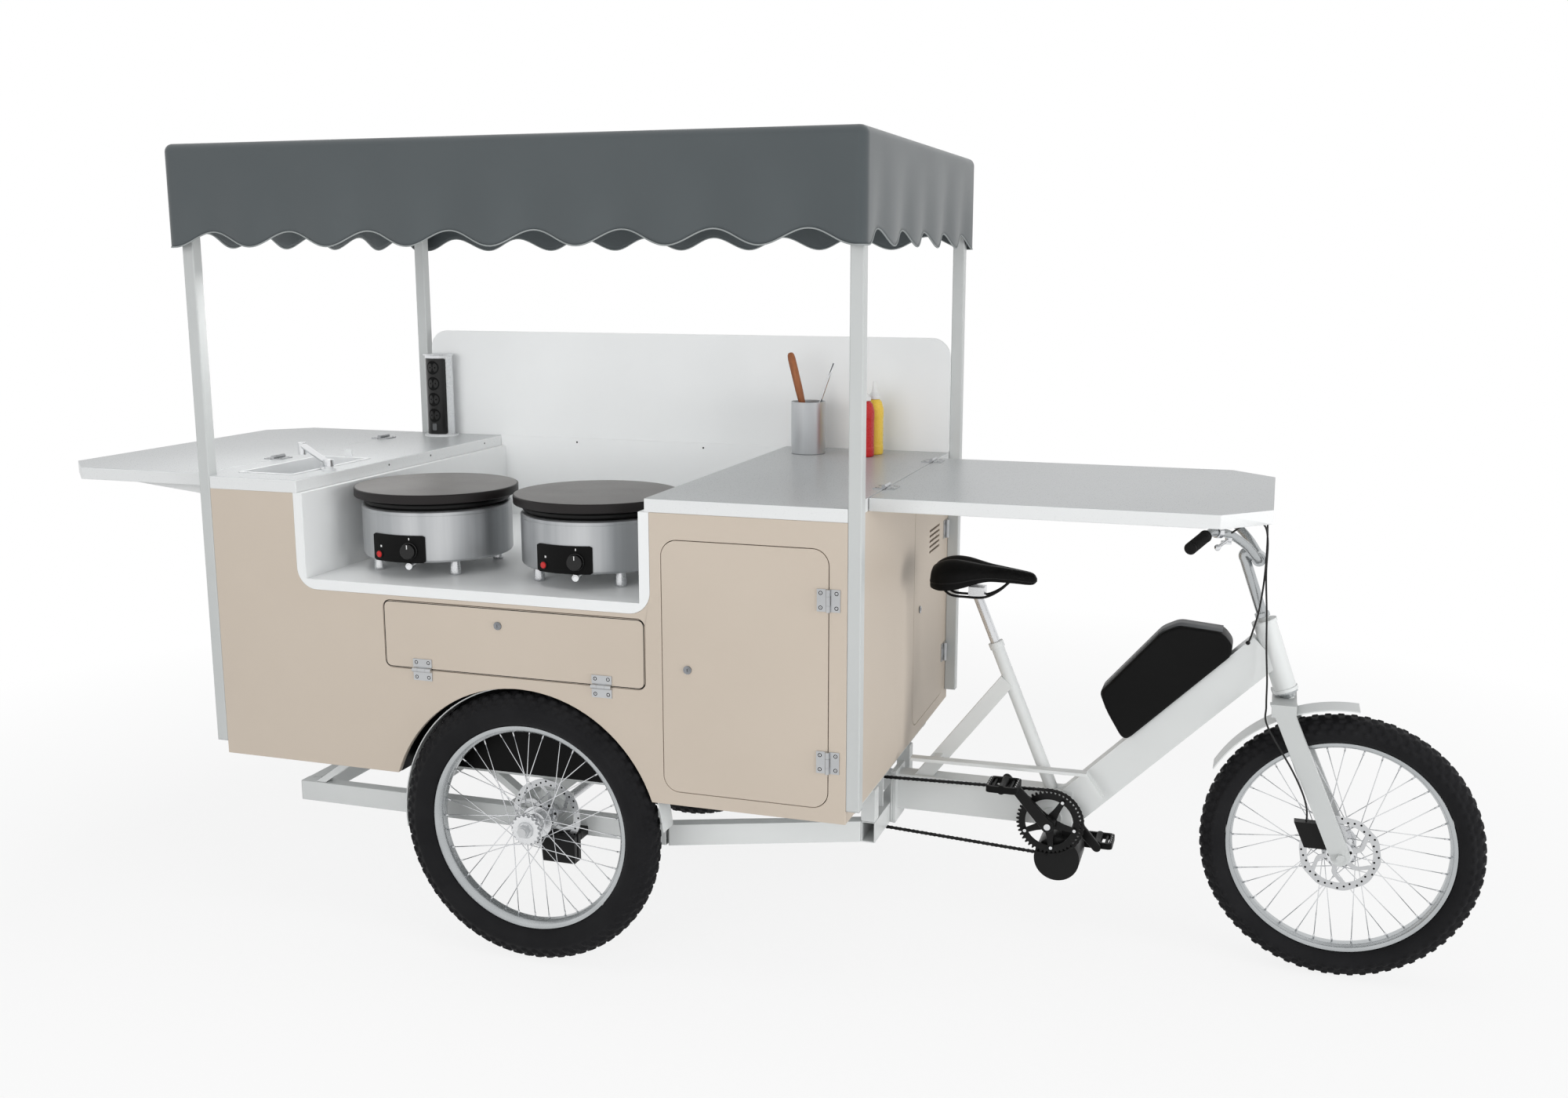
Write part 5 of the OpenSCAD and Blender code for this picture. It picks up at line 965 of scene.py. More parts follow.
wareSet = {
    "top": 1300, "cupSpot": (512, 410), "bottles": {"red": (700, 385), "yellow": (712, 452)},
    "cup": [[0.01, 1.5], [49, 1.5], [51.4, 4], [51.4, 160], [52, 162.6], [53, 162], [53, 2], [51, 0],
        [0.01, 0]],
    "bottle": [[0.01, 0], [27, 0], [30, 4], [30, 26], [29.2, 30], [29.2, 112], [30, 118], [30, 140],
        [24, 162], [18, 169], [16, 171], [0.01, 171]],
    "cap": [[17, 171], [18.5, 171.5], [18.5, 181], [15.5, 184], [8, 194], [5, 215], [3.4, 226.5],
        [1.4, 227], [0.01, 226]],
    "capRibs": 24, "ribDeep": 0.02, "ribbedRows": 9, "spatulaFoot": (528, 402, 1322),
    "spatulaHead": (455, 402, 1612), "handleAt": [0.40, 0.42, 0.46, 0.6, 0.8, 0.93, 0.975, 0.995, 1.0],
    "handleRadius": [6, 9.5, 11, 12.6, 13, 12.8, 11, 7, 1.0], "rodEnd": 0.41, "rodRadius": 4.0,
    "blade": (506, 537, 1304, 1390, 8), "bladeY": (400, 402),
    "stick": ((492, 428, 1304), (588, 428, 1580)), "stickRadius": [3.8] * 7 + [2.6],
}


# Cup and bottles: profiles turned about upright axes; handle, rod and stick: tubes along straight lines
def makeWare():
    w = wareSet
    cup = turned("utensilCup", softened(w["cup"], 1.0, 3), [*w["cupSpot"], w["top"]], "drumSteel", "cart",
                 seg=96)
    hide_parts("counter_ware")
    foot = np.array(w["spatulaFoot"], float)
    along = np.array(w["spatulaHead"], float) - foot
    ref = (0, 1, 0.2)
    handle = foot + along * np.array(w["handleAt"])[:, None]
    tube("spatulaHandle", handle, np.array(w["handleRadius"]), "handleWood", "cart", 8, ref)
    rod = foot + along * np.linspace(0, w["rodEnd"], 6)[:, None]
    tube("spatulaRod", rod, w["rodRadius"], "chrome", "cart", 14, ref)
    slab("spatulaBlade", rectangle(*w["blade"]), *w["bladeY"], 0.5, "steel", "cart")
    stick = np.linspace(*w["stick"], len(w["stickRadius"]))
    tube("stirStick", stick, np.array(w["stickRadius"]), "chrome", "cart", 14, ref)
    ribs = lambda a, v: 1 + np.where(v < w["ribbedRows"], w["ribDeep"] * np.cos(a * w["capRibs"]), 0)
    for tone, spot in w["bottles"].items():
        base = [*spot, w["top"]]
        turned(tone + "Bottle", softened(w["bottle"], 3, 4), base, tone + "Plastic", "cart", seg=48)
        cap = softened(w["cap"], 1.6, 3)
        turned(tone + "BottleCap", cap, base, "whitePlastic", "cart", seg=96, ripple=ribs)


makeWare()
print("counter ware set")


saddleSet = {
    "x": [1006, 1010, 1018, 1040, 1070, 1105, 1140, 1170, 1205, 1245, 1275, 1290, 1298],
    "half": [30, 52, 68, 82, 85, 80, 62, 44, 34, 27, 23, 16, 5],
    "top": [1036, 1052, 1064, 1077, 1083, 1080, 1072, 1066, 1061, 1055, 1050, 1044, 1033],
    "low": [1016, 1006, 1001, 998, 1000, 1008, 1018, 1023, 1022, 1020, 1018, 1019, 1026], "round": 0.6,
    "channel": 13, "channelShare": 0.26, "channelFrom": 20, "channelFade": 60, "upper": 64, "under": 24,
    "underShare": 0.97, "underDrop": 3.0, "seamOut": 0.985, "seamUp": 0.24, "seamRadius": 1.1,
    "seamShort": 4, "railRadius": 3.5,
    "rail": [[1030, 20, 1003], [1060, 21, 976], [1104, 22, 972], [1156, 22, 974], [1196, 16, 994],
        [1228, 9, 1024]],
}


# Saddle: across by cosine and up by a power of sine, carried along the length; a bell curve is the channel
def makeSaddle():
    s = saddleSet
    x, half, top, low = smoothPath(np.stack([s["x"], s["half"], s["top"], s["low"]], 1), 7).T[:, :, None]
    a = np.linspace(0, np.pi, s["upper"])
    arch = np.abs(np.sin(a)) ** s["round"]
    wide = np.clip((half - s["channelFrom"]) / s["channelFade"], 0, 1)
    groove = np.exp(-(np.cos(a) / s["channelShare"]) ** 2) * wide * s["channel"]
    upper = np.broadcast_arrays(x, half * np.cos(a), low + (top - low) * arch - groove)
    b = np.linspace(np.pi, fullTurn, s["under"])[1:-1]
    under = np.broadcast_arrays(x, half * s["underShare"] * np.cos(b), low + s["underDrop"] * np.sin(b))
    shell = np.concatenate([np.stack(upper, -1), np.stack(under, -1)], 1)
    pad = gridMesh("saddlePad", place(shell), "saddleCover", "seat", wrapCols=True, caps=True)
    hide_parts("saddle")
    edge = np.hstack([x, half * s["seamOut"], low + (top - low) * s["seamUp"]])
    edge = edge[s["seamShort"]:-s["seamShort"]]
    for sign, tag in leftRight:
        mirror = [1, sign, 1]
        tube("saddleSeam" + tag, edge * mirror, s["seamRadius"], "blackGloss", "seat", 8, (0.1, 0.2, 1))
        rail = smoothPath(np.array(s["rail"]) * mirror, 8)
        tube("saddleRail" + tag, rail, s["railRadius"], "blackMetal", "seat", 12, (0, 1, 0.1))


makeSaddle()
print("saddle padded")


barSet = {
    "points": [[1876, 0, 1124], [1876, 18, 1124], [1876, 32, 1125], [1867, 46, 1138], [1843, 66, 1168],
        [1800, 108, 1202], [1764, 160, 1214], [1748, 200, 1212], [1716, 306, 1196]],
    "radius": 11, "lean": 19.4, "head": (1963, 0, 774), "stemRise": (206.2, 260, 320, 360, 378),
    "stemEnd": [[1846, 0, 1138], [1864, 0, 1128]], "stemRadius": 14, "nutRise": 206.4,
    "clamp": [[11.6, -22], [17, -22], [18, -21], [18, 21], [17, 22], [11.6, 22]],
    "race": [[15.2, -18], [20, -18], [20, -6.3], [30.4, -6.3], [30.4, -0.6], [16, -0.6]],
    "nut": [[14, 0], [19, 0], [19, 12], [17, 14], [14, 14]], "perchX": (1781.5, 1808),
    "perchY": (136, 156), "perchZ": (1184, 1191), "bandSpot": (1774, 146, 1211.3),
    "bandAxis": (-36, 52, 12), "band": [[11.4, -9], [14, -9], [14.6, -7], [14.6, 7], [14, 9], [11.4, 9]],
}
gripSet = {
    "from": [1746, 206, 1211], "to": [1714, 312, 1195], "radius": 16, "below": 1.4, "ribHigh": 0.9,
    "ribPitch": 7.0, "ribSharp": 3, "plain": 12, "end": 6, "tipRadius": 15.6, "tipDrop": 6, "rows": 90,
}


# Grip: tube whose radius is a squared-off sine, plain at the collar and rounded by a cube at the tip
def makeGrip(sign, tag):
    g = gripSet
    start = np.array(g["from"]) * [1, sign, 1]
    end = np.array(g["to"]) * [1, sign, 1]
    length = np.linalg.norm(end - start)
    s = np.linspace(0, length, g["rows"])
    ribbed = (s > g["plain"]) & (s < length - g["plain"])
    ribs = g["ribHigh"] * np.tanh(g["ribSharp"] * np.sin(s * fullTurn / g["ribPitch"])) * ribbed
    radius = np.where(s < g["end"], g["radius"], g["radius"] - g["below"] + ribs)
    tip = g["tipRadius"] - g["tipDrop"] * ((s - length + g["end"]) / g["end"]) ** 3
    radius = np.where(s > length - g["end"], tip, radius)
    path = start + unit(end - start) * s[:, None]
    return tube("grip" + tag, path, radius, "gripRubber", "steering", 32, (0.4, 0, 1))


# Bar and stem: tubes along smooth curves; clamp, race, nut and bands: profiles turned about their axes
def makeBars():
    b = barSet
    left = smoothPath(b["points"], 8)
    path = np.vstack([(left[1:] * [1, -1, 1])[::-1], left])
    bar = tube("handlebarTube", path, b["radius"], "rimAlloy", "steering", 24, (0.4, 0, 1))
    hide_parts("handlebar")
    lean = math.radians(b["lean"])
    steer = np.array([-math.sin(lean), 0, math.cos(lean)])
    head = np.array(b["head"], float)
    stem = np.vstack([head + steer * np.array(b["stemRise"])[:, None], b["stemEnd"]])
    tube("stemTube", smoothPath(stem, 6), b["stemRadius"], "rimAlloy", "steering", 28, (0, 1, 0))
    turned("stemClamp", softened(b["clamp"], 1.2, 3), b["points"][0], "rimAlloy", "steering",
           acrossCart, 48)
    turned("crownRace", softened(b["race"], 0.6, 2), head, "rimAlloy", "steering", steer, 64)
    nutSpot = head + steer * b["nutRise"]
    turned("stemNut", softened(b["nut"], 1, 2), nutSpot, "rimAlloy", "steering", steer, 6, smooth=False)
    for sign, tag in leftRight:
        mirror = np.array([1, sign, 1])
        grip = makeGrip(sign, tag)
        if sign > 0:
            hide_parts("grips")
        perch = rectangle(*b["perchX"], *sorted(y * sign for y in b["perchY"]), 4)
        slab("leverPerch" + tag, perch, *b["perchZ"], 1.2, "chrome", "steering", "xyz")
        turned("perchBand" + tag, softened(b["band"], 1, 2), b["bandSpot"] * mirror, "chrome", "steering",
               b["bandAxis"] * mirror, 40)


makeBars()
print("handlebar bent")


# outlines are given along the down tube and up from it
batterySet = {
    "from": [1552, 600], "lean": 44.6, "half": 50, "edge": 10, "round": 30,
    "side": [[3, 0.3], [378, 0.3], [400, 20], [405, 62], [331, 149], [284, 165], [47, 145], [26, 96]],
    "lid": [[28, 100], [47, 145.6], [284, 165.6], [331, 149.6], [404, 63]], "lidHalf": 37, "lidRound": 14,
    "lidThick": 1.6,
}


# Case: the side outline carried across with rounded rims; lid: a strip along the top of the outline
def makeBattery():
    b = batterySet
    lean = math.radians(b["lean"])
    outline = softLoop(spun(b["side"], lean, b["from"]), b["round"], 8)
    case = slab("batteryCase", outline, -b["half"], b["half"], b["edge"], "blackPlastic", "cart")
    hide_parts("battery")
    top = softened(spun(b["lid"], lean, b["from"]), b["lidRound"], 5)
    x, z = top.T
    band = np.stack([np.stack(np.broadcast_arrays(x, y, z), 1) for y in (-b["lidHalf"], b["lidHalf"])], 1)
    lid = gridMesh("batteryLid", place(band), "greyPlastic", "cart")
    thicken(lid, "lid", b["lidThick"], 0)


makeBattery()
print("battery cased")


driveSet = {
    "crank": (1363, 360), "axle": (33, 378), "teeth": 46, "ring": 87.5, "ringInner": 68,
    "ringY": (-72, -68), "perTooth": 8, "turn": 132, "toothHigh": 0.045, "toothSharp": 2.5, "arm": 170,
    "links": 243, "ringPitch": 93, "sprocketPitch": 40.4, "chainY": -70, "linkHalf": (2.6, 3.7),
    "plateHalf": 0.5, "rollerHalf": 4.6, "rollerRadius": 2.6, "spiderArms": 5, "spiderY": (-78, -72.2),
    "innerRim": (66.5, 69.5, -72.6, -67.6), "boltRing": 72, "armY": (98, 112), "hubRound": 17,
    "tipLong": 13.5, "tipRound": 12.5,
    "link": [[-4, 0], [-2.6, 3.2], [0, 4.1], [4, 3.0], [8.7, 3.0], [12.7, 4.1], [15.3, 3.2], [16.7, 0],
        [15.3, -3.2], [12.7, -4.1], [8.7, -3.0], [4, -3.0], [0, -4.1], [-2.6, -3.2]],
    "spider": [[12, -15], [40, -9], [70, -7], [78, -5], [78, 5], [70, 7], [40, 9], [12, 15]],
    "bolt": [[0.01, 0.8], [2.4, 0.8], [2.6, 1.8], [4.6, 1.8], [5, 0]],
    "axleShape": [[0.01, -107], [10, -107], [10, 107], [0.01, 107]],
    "hub": [[10, -98], [20, -97], [22, -80], [22, -72.4], [10, -72.4]],
    "cap": [[0.01, 1.2], [7, 1.2], [9, 0.6], [9.5, -0.5]],
    "spindle": [[0.01, 111], [8.5, 111], [8.5, 115.5], [6.6, 116], [6.6, 206], [0.01, 206]],
}


# Line round the chainring and the sprocket: two straight runs and two arcs, walked at equal steps
def chainPath(count):
    d = driveSet
    r1, r2 = d["ringPitch"], d["sprocketPitch"]
    gap = np.subtract(d["axle"], d["crank"])
    base = math.atan2(gap[1], gap[0])
    tilt = math.acos((r1 - r2) / np.linalg.norm(gap))
    front = roundPoints(d["crank"], r1, np.linspace(base + tilt, base + fullTurn - tilt, 200), 0)
    rear = roundPoints(d["axle"], r2, np.linspace(base - tilt, base + tilt, 120), 0)
    line = np.vstack([front, rear, front[:1]])
    run = np.concatenate([[0], np.cumsum(np.linalg.norm(np.diff(line, axis=0), axis=1))])
    want = np.linspace(0, run[-1], count, endpoint=False)
    return np.stack([np.interp(want, run, line[:, k]) for k in (0, 2)], 1)


# Chain: the link outline laid from each pin to the next, narrow and wide by turns; a rod on each pin
def makeChain():
    d = driveSet
    pins = chainPath(d["links"])
    along = unit(np.roll(pins, -1, 0) - pins)
    across = np.stack([-along[:, 1], along[:, 0]], 1)
    link = np.array(d["link"])
    flat = pins[:, None] + link[None, :, :1] * along[:, None] + link[None, :, 1:] * across[:, None]
    wide = np.where(np.arange(len(pins)) % 2 == 0, *d["linkHalf"])[:, None]
    sides = []
    for sign in (-1, 1):
        ys = [d["chainY"] + sign * wide + half for half in (-d["plateHalf"], d["plateHalf"])]
        sheets = [np.stack(np.broadcast_arrays(flat[..., 0], y, flat[..., 1]), -1) for y in ys]
        sides.append(np.stack(sheets, 1))
    plates = gridMesh("chainPlates", place(np.concatenate(sides)), "blackMetal", "cart", wrapCols=True,
                      caps=True, smooth=False, loose=True)
    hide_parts("chain")
    ends = [np.stack(np.broadcast_arrays(pins[:, 0], d["chainY"] + half, pins[:, 1]), 1)
            for half in (-d["rollerHalf"], d["rollerHalf"])]
    rods("chainRollers", *ends, d["rollerRadius"], "blackMetal", "cart")


# Chainring: a ring whose outer radius is a squared-off sine, on five tapered arms with silver bolts
def makeChainring():
    d = driveSet
    x, z = d["crank"]
    hubSpot = [x, 0, z]
    tooth = lambda a: d["toothHigh"] * np.tanh(d["toothSharp"] * np.sin(a * d["teeth"]))
    teeth = lambda a, v: np.where(np.isin(v, (1, 2)), 1 + tooth(a), 1.0)
    shape = corners(d["ringInner"], d["ring"], *d["ringY"])
    ring = turned("chainring", shape, hubSpot, "blackMetal", "crank", acrossCart, d["teeth"] * d["perTooth"],
                  teeth, closed=True, smooth=False)
    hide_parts("crankset")
    turns = np.radians(d["turn"] + 360 / d["spiderArms"] * np.arange(d["spiderArms"]))
    outline = softLoop(d["spider"], 5, 3)
    arms = [slabPoints(spun(outline, a, (x, z)), *d["spiderY"], 1.2, "xzy", 2) for a in turns]
    gridMesh("chainringArms", place(np.array(arms)), "blackMetal", "crank", wrapCols=True, caps=True)
    bolts = roundPoints(d["crank"], d["boltRing"], turns, d["spiderY"][0])
    turned("chainringBolts", softened(d["bolt"], 0.5, 2), bolts, "chrome", "crank", (0, -1, 0), 24)
    innerRim = rectangle(*d["innerRim"], 0.8, 2)
    turned("chainringInnerRim", innerRim, hubSpot, "blackMetal", "crank", acrossCart, 96, closed=True)
    turned("crankAxle", softened(d["axleShape"], 1, 2), hubSpot, "steel", "crank", acrossCart, 40)
    turned("spiderHub", softened(d["hub"], 2, 3), hubSpot, "blackMetal", "crank", acrossCart, 48)


# Crank arms: half circles round both ends, joined and carried across with rounded rims
def makeCranks():
    d = driveSet
    x, z = d["crank"]
    hub = np.linspace(np.pi * 0.5, np.pi * 1.5, 16)
    tip = np.linspace(-quarterTurn, quarterTurn, 16)
    hubEnd = d["hubRound"] * np.stack([np.cos(hub), np.sin(hub)], 1)
    tipEnd = np.stack([d["arm"] + d["tipLong"] * np.cos(tip), d["tipRound"] * np.sin(tip)], 1)
    outline = np.vstack([hubEnd, tipEnd])
    for side, turn, tag in ((-1, d["turn"], "Right"), (1, d["turn"] + 180, "Left")):
        a = math.radians(turn)
        outside = (0, side, 0)
        y0, y1 = sorted(y * side for y in d["armY"])
        slab("crankArm" + tag, spun(outline, a, (x, z)), y0, y1, 4, "blackMetal", "crank")
        cap = softened(d["cap"], 0.6, 2)
        turned("crankCap" + tag, cap, [x, d["armY"][1] * side, z], "alloy", "crank", outside, 32)
        end = roundPoints(d["crank"], d["arm"], a, 0)
        turned("pedalSpindle" + tag, softened(d["spindle"], 0.5, 2), end, "steel", "crank", outside, 28)
        makePedal(tag, end, side)


pedalSet = {
    "y": (116.5, 207.5), "half": 43, "innerHalf": 32, "rim": 11, "corner": 14, "innerCorner": 8,
    "high": 9, "barEdge": 9, "barAt": 24, "barHalf": 3.5, "barHigh": 6, "pinAt": 37.5, "pinEdge": 14,
    "pinRows": 5, "pinRadius": 1.5, "pinSunk": 1, "pinProud": 2.6, "bevel": 1.6,
    "barrel": [[7.2, 117], [12, 117], [13, 120], [11, 150], [11, 176], [12.5, 204], [12, 207],
        [7.2, 207]],
}


# Platform pedal: a frame between two rounded rectangles, with cross bars, a centre barrel and grip pins
def makePedal(tag, end, side):
    p, body = pedalSet, "pedal_" + tag.lower()
    y0, y1 = sorted(y * side for y in p["y"])
    x, z = end[0], end[2]
    outer = rectangle(x - p["half"], x + p["half"], y0, y1, p["corner"], 6)
    inner = rectangle(x - p["innerHalf"], x + p["innerHalf"], y0 + p["rim"], y1 - p["rim"],
                      p["innerCorner"], 6)
    loop = [(outer, -p["high"]), (outer, p["high"]), (inner, p["high"]), (inner, -p["high"])]
    pts = np.stack([np.column_stack([o, np.full(len(o), z + h)]) for o, h in loop], 1)
    cage = gridMesh("pedalCage" + tag, place(pts), "blackPlastic", body, wrapRows=True, wrapCols=True,
                    smooth=False)
    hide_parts(body)
    crisp(cage, p["bevel"])
    turned("pedalBarrel" + tag, softened(p["barrel"], 2, 3), end, "blackPlastic", body, (0, side, 0), 36)
    bars = []
    for at in (x - p["barAt"], x + p["barAt"]):
        bar = rectangle(at - p["barHalf"], at + p["barHalf"], y0 + p["barEdge"], y1 - p["barEdge"], 2, 3)
        bars.append(slabPoints(bar, z - p["barHigh"], z + p["barHigh"], 1, "xyz", 2))
    gridMesh("pedalBars" + tag, place(np.array(bars)), "blackPlastic", body, wrapCols=True, caps=True)
    ys = np.linspace(y0 + p["pinEdge"], y1 - p["pinEdge"], p["pinRows"])
    pins = np.array([[x + sx * p["pinAt"], y, z + sz * p["high"]]
                     for sx in (-1, 1) for sz in (-1, 1) for y in ys])
    proud = np.sign(pins[:, 2:] - z) * [0, 0, p["pinProud"]]
    rods("pedalPins" + tag, pins - [0, 0, p["pinSunk"]], pins + proud, p["pinRadius"], "steel", body)


makeChain()
makeChainring()
makeCranks()
print("drive built")


# each hinge: the way its leaf faces, the way it reaches over the door, the way of its pin, and its places
hingeSet = {"side_door": ((0, -1, 0), (-1, 0, 0), (0, 0, 1), [[879, -605.5, 654], [879, -605.5, 1070]]),
            "drop_door": ((0, -1, 0), (0, 0, 1), (1, 0, 0), [[-270, -605.5, 797], [263, -605.5, 797]]),
            "front_door": ((1, 0, 0), (0, -1, 0), (0, 0, 1), [[929, 534, 664], [929, 534, 1063]]),
            "rear_table": ((0, 0, 1), (-1, 0, 0), (0, 1, 0), [[-982.3, -216, 1303], [-982.3, 358, 1303]]),
            "front_table": ((0, 0, 1), (1, 0, 0), (0, 1, 0), [[927.7, -235, 1303], [927.7, 330, 1303]])}
screwSet = {
    "reach": 20.5, "along": 18.5, "cup": [[3.2, 0.1], [5.2, 0.15], [5.2, -0.4], [3.2, -0.4]],
    "drive": [[0.01, 0.75], [1.5, 0.75], [1.5, 0.3], [0.01, 0.3]],
    "head": [[0.01, 0.5], [1.0, 0.55], [2.6, 0.6], [3.3, 0.3], [3.3, -1.0]],
}


# Countersunk screws on both leaves of each hinge: turned heads, with the drive and the countersink ring
# drawn as thin dark discs of painted shade
def makeHingeScrews():
    s = screwSet
    head = softened(s["head"], 0.4, 2)
    k = 0
    for door, (normal, over, along, places) in hingeSet.items():
        for pin in places:
            for body, side in ((door, 1), ("cart", -1)):
                leaf = np.array(pin) + np.array(over) * s["reach"] * side
                spots = [leaf + np.array(along) * s["along"] * end for end in (1, -1)]
                turned("hingeScrew%02d" % k, head, spots, "chrome", body, normal, 20)
                # drive recess and countersink ring: painted shade
                turned("hingeScrewDrive%02d" % k, s["drive"], spots, "holeShade", body, normal, 6)
                turned("hingeScrewCup%02d" % k, s["cup"], spots, "holeShade", body, normal, 24, closed=True)
                k += 1


lockSet = {"side": ([504, -605.8, 862], (0, -1, 0), (1, 0, 0)),
           "drop": ([-37, -605.8, 937], (0, -1, 0), (1, 0, 0)),
           "front": ([929.3, 192, 876], (1, 0, 0), (0, 1, 0))}
plugSet = {
    "shape": [[0.01, 0.9], [5.6, 0.9], [6.2, 0.3], [6.2, -0.3]], "slotHalf": (0.7, 4),
    "slot": (0.2, 1.05),
}


# Key plugs of the three cam locks: a turned plug, its key slot a thin dark plate of painted shade
def makeLockFaces():
    p = plugSet
    for tag, (spot, normal, across) in lockSet.items():
        body = tag + "_lock"
        turned(tag + "LockPlug", softened(p["shape"], 0.3, 2), spot, "lockSteel", body, normal, 32)
        thinPlate(tag + "KeySlot", np.array(spot, float), across, normal, p["slotHalf"], p["slot"],
                  "holeShade", body)


trimSet = {
    "door": (-385, 385, 798, 984, 21), "doorFace": -602.5, "band": 1.9, "proud": 0.45, "screw": 3.2,
    "edgeScrews": [[-643, -142, 1285], [-643, 95, 1285], [-643, 439, 1285]],
    "wallScrews": [[-355, 555.5, 1286], [104, 555.5, 1284]], "boot": [1860.5, -27, 901.5],
    "bootShape": [[0.01, 6.4], [2.8, 6.2], [4.2, 4.6], [5.6, 2], [5.8, 0], [5.8, -0.5]],
}


# Edge band: a tube round the drop door; screws and the boot of the rear cable: turned profiles
def makeTrim():
    t = trimSet
    x0, x1, z0, z1, r = t["door"]
    b, screw = t["band"], t["screw"]
    loop = rectangle(x0 + b, x1 - b, z0 + b, z1 - b, r - b, 8)
    x, z = np.vstack([loop, loop[:1]]).T
    path = np.stack(np.broadcast_arrays(x, t["doorFace"] + b - t["proud"], z), 1)
    tube("dropDoorBand", path, b, "blackPlastic", "drop_door", 10, (0, 1, 0))
    head = softened([[0.01, 0.9], [screw * 0.7, 0.8], [screw, 0.2], [screw, -1]], 0.3, 2)
    turned("edgeScrews", head, t["edgeScrews"], "blackMetal", "cart", (1, 0, 0), 20)
    turned("wallScrews", head, t["wallScrews"], "blackMetal", "cart", (0, -1, 0), 20)
    turned("cableBoot", softened(t["bootShape"], 0.8, 3), t["boot"], "gripRubber", "cart", (0, -1, 0), 28)


makeHingeScrews()
makeLockFaces()
makeTrim()
print("hinges and locks fitted")


towerSet = {
    "spot": (-842, 500), "radius": 46, "wall": 4.5, "foot": 1220, "low": 1306, "high": 1566,
    "rim": 1574.6, "top": 1579, "cap": 52, "half": 59, "recess": 2.4, "face": 45.4,
    "sockets": (1534, 1480, 1426, 1372), "pinsApart": 19, "switch": (1320, 1344),
    "switchTurn": (-100, -80), "step": 0.4, "sunk": 0.3, "switchSunk": 0.5,
    "socket": [[23, -0.3], [23, 0.4], [22, 0.55], [20.5, 0.4], [19.5, 0.12], [0.01, 0.12]],
    "hole": [[2.4, -0.1], [2.4, 0.22], [0.01, 0.22]],
}


# Round profile bent on the tower: distance along the face becomes an angle, height a radius
def bentPoints(profile, z, along=0, seg=48):
    t = towerSet
    ring, lift = np.asarray(profile, float).T
    turn = np.linspace(0, fullTurn, seg, endpoint=False)[:, None]
    angle = (along + np.cos(turn) * ring) / t["face"] - quarterTurn
    radius = t["face"] + lift
    return np.stack([t["spot"][0] + radius * np.cos(angle), t["spot"][1] + radius * np.sin(angle),
                     z + np.sin(turn) * ring], -1)


# Power tower: turned column, its radius stepped in over the angle of the face, so that it can slide down
def makeTower():
    t = towerSet
    r, inner, low, high, cap = t["radius"], t["radius"] - t["wall"], t["low"], t["high"], t["cap"]
    shape = np.array([[0.01, high], [inner, high], [inner, t["foot"]], [r, t["foot"]], [r, low - t["step"]],
                      [r, low], [r, high], [r, high + t["step"]], [r, t["rim"]], [cap - 1, t["rim"]],
                      [cap, t["rim"] + 1], [cap, t["top"] - 1], [cap - 1, t["top"]], [0.01, t["top"]]])
    stepped = (shape[:, 0] == r) & (shape[:, 1] >= low) & (shape[:, 1] <= high)
    faceCos = math.cos(math.radians(t["half"]))
    hollow = lambda a, v: np.where(stepped[v] & (-np.sin(a) > faceCos), 1 - t["recess"] / r, 1)
    column = turned("towerColumn", shape, [*t["spot"], 0], "alloy", "tower", seg=180, ripple=hollow,
                    smooth=False)
    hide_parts("power_tower")
    reach = t["half"] - 1
    turn = (-90 - reach, -90 + reach)
    curvedPlate("towerFace", t["spot"], r - t["recess"] - t["sunk"], t["face"], turn, (low + 1, high - 1),
                "blackGloss", "tower", 5, 30)
    for k, z in enumerate(t["sockets"]):
        socket = place(bentPoints(t["socket"], z))
        gridMesh("towerSocket%d" % k, socket, "blackPlastic", "tower", wrapRows=True)
        # pin holes: thin dark discs of painted shade
        pins = np.stack([bentPoints(t["hole"], z, side * t["pinsApart"] / 2, 16) for side in (-1, 1)])
        gridMesh("towerPins%d" % k, place(pins), "holeShade", "tower", wrapRows=True)
    curvedPlate("towerSwitch", t["spot"], t["face"] - t["switchSunk"], r, t["switchTurn"], t["switch"],
                "greyPlastic", "tower", 2, 8)


makeTower()
print("power tower faced")


# lamps: spot, aim, size, power
stageSet = {"floor": 14.0, "white": (0.86, 0.86, 0.86), "floorRough": 0.9, "glow": (0.84, 1.0),
            "glowFrom": (2.2, 4.2), "sky": (0.97, 0.99, 1.0), "skyStrength": 0.42,
            "lamps": {"keyLight": ((-0.8, -6.4, 2.4), (0, 0, 1.1), (4.5, 3.0), 142),
                      "frontFill": ((6.0, -2.0, 1.3), (0.6, 0, 0.9), (3.0, 2.2), 165),
                      "topFill": ((0, -0.5, 6.0), (0, 0, 0.8), (4.0, 4.0), 60),
                      "canopyFill": ((-0.48, 0, 2.08), (-0.48, 0.01, 1.0), (1.7, 1.0), 5.2),
                      "sinkFill": ((-1.26, -0.34, 1.86), (-1.26, -0.35, 1.0), (0.3, 0.3), 2.8)}}


# 1 for rays that show the backdrop: straight from the camera, off metal or through glass
def backdropRays(tree):
    path = tree.nodes.new("ShaderNodeLightPath")
    direct = combined(tree, "MAXIMUM", path.outputs["Is Camera Ray"], path.outputs["Is Glossy Ray"])
    return combined(tree, "MAXIMUM", direct, path.outputs["Is Transmission Ray"])


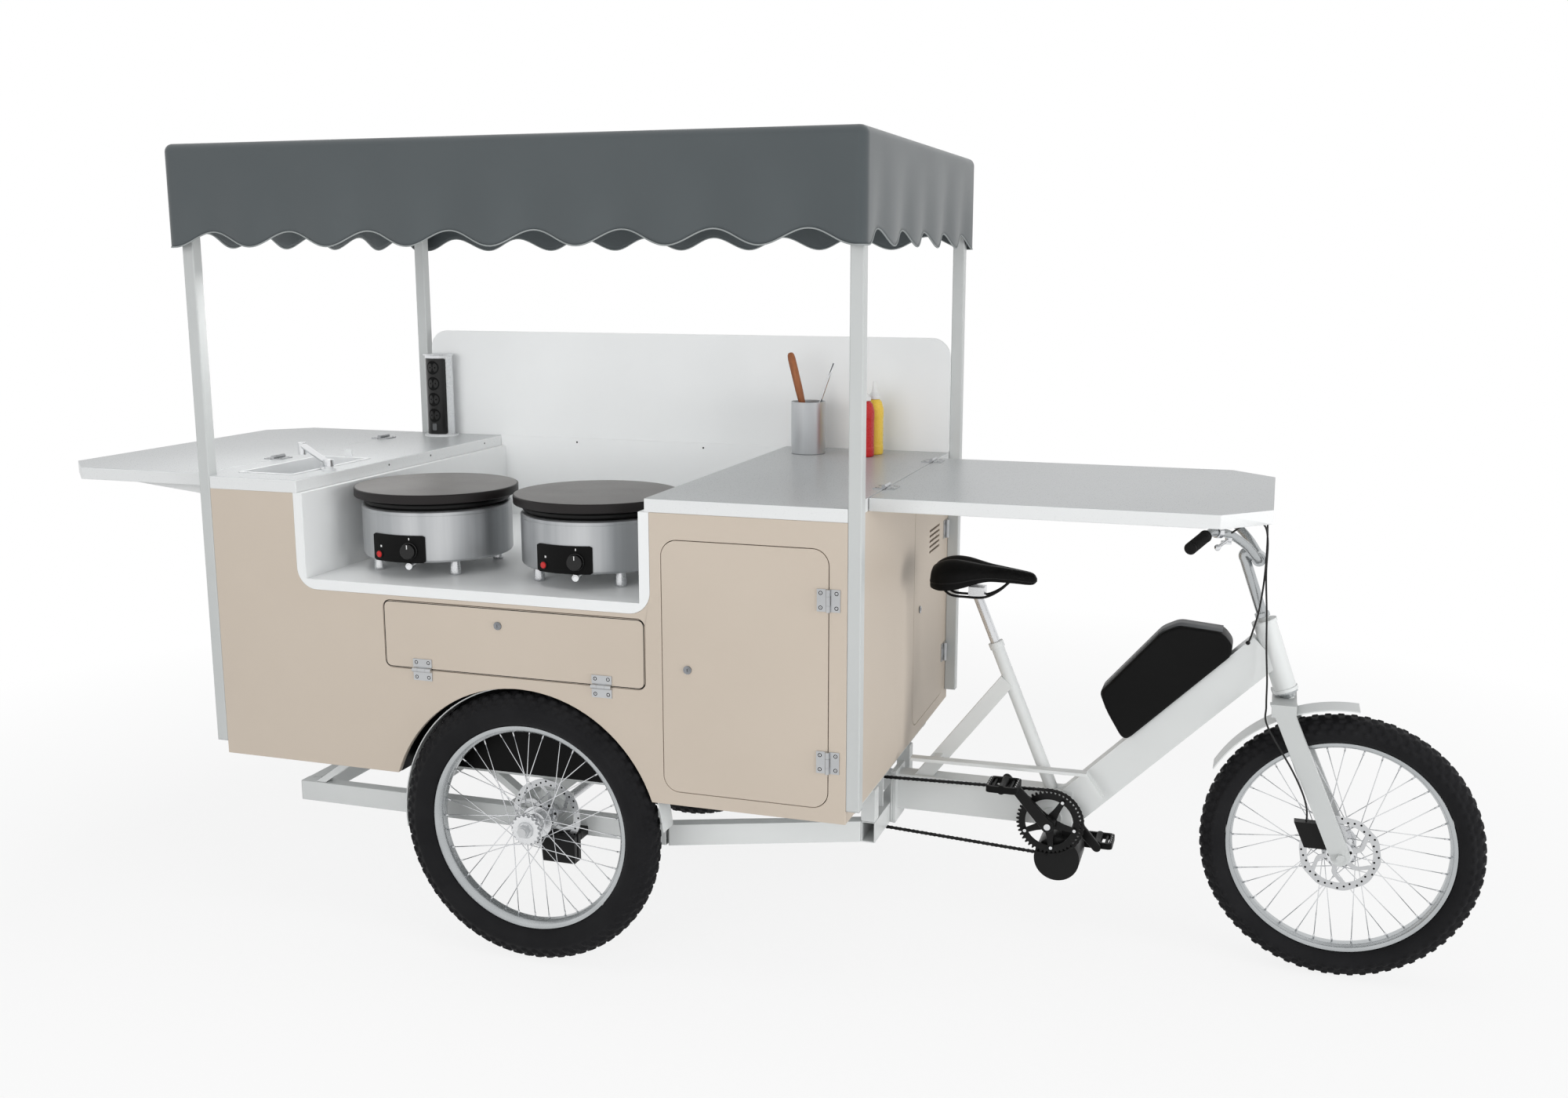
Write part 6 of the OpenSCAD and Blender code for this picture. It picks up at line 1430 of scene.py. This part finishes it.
def mixShaders(tree, factor, first, second, output):
    blend = tree.nodes.new("ShaderNodeMixShader")
    for socket, source in zip(blend.inputs, (factor, first, second)):
        tree.links.new(source, socket)
    tree.links.new(blend.outputs[0], tree.nodes[output].inputs["Surface"])


# Pale floor that keeps the shadow, glowing towards white away from the cart
def makeFloor():
    s = stageSet
    h = s["floor"]
    mesh = bpy.data.meshes.new("floor")
    mesh.from_pydata([(-h, -h, 0), (h, -h, 0), (h, h, 0), (-h, h, 0)], [], [(0, 1, 2, 3)])
    floor = addObject("floor", mesh)
    material, tree, shader, coord = blank("floorPale")
    shader.inputs["Base Color"].default_value = (*s["white"], 1)
    shader.inputs["Roughness"].default_value = s["floorRough"]
    glow = tree.nodes.new("ShaderNodeEmission")
    glow.inputs["Strength"].default_value = 1.0
    far = tree.nodes.new("ShaderNodeVectorMath")
    far.operation = "LENGTH"
    tree.links.new(coord.outputs["Object"], far.inputs[0])
    reach = spread(tree, far.outputs["Value"], *s["glow"], *s["glowFrom"])
    share = combined(tree, "MULTIPLY", backdropRays(tree), reach)
    mixShaders(tree, share, shader.outputs[0], glow.outputs[0], "Material Output")
    mesh.materials.append(material)


# Soft sky that lights the cart, shown as plain white
def makeWorld():
    world = bpy.data.worlds.new("studio")
    bpy.context.scene.world = world
    world.use_nodes = True
    tree = world.node_tree
    light = tree.nodes["Background"]
    light.inputs["Color"].default_value = (*stageSet["sky"], 1)
    light.inputs["Strength"].default_value = stageSet["skyStrength"]
    white = tree.nodes.new("ShaderNodeBackground")
    white.inputs["Color"].default_value = (1, 1, 1, 1)
    white.inputs["Strength"].default_value = 1.0
    mixShaders(tree, backdropRays(tree), light.outputs[0], white.outputs[0], "World Output")


# One broad soft key light and four fills, none of them seen
def makeLamps():
    for name, (spot, target, size, power) in stageSet["lamps"].items():
        data = bpy.data.lights.new(name, "AREA")
        data.shape = "RECTANGLE"
        data.energy = power
        data.size, data.size_y = size
        lamp = addObject(name, data)
        aim(lamp, spot, Vector(target) - Vector(spot))
        lamp.visible_camera = False
        lamp.visible_glossy = False


makeFloor()
makeWorld()
makeLamps()
bpy.context.scene.view_settings.view_transform = "Standard"
print("stage lit")
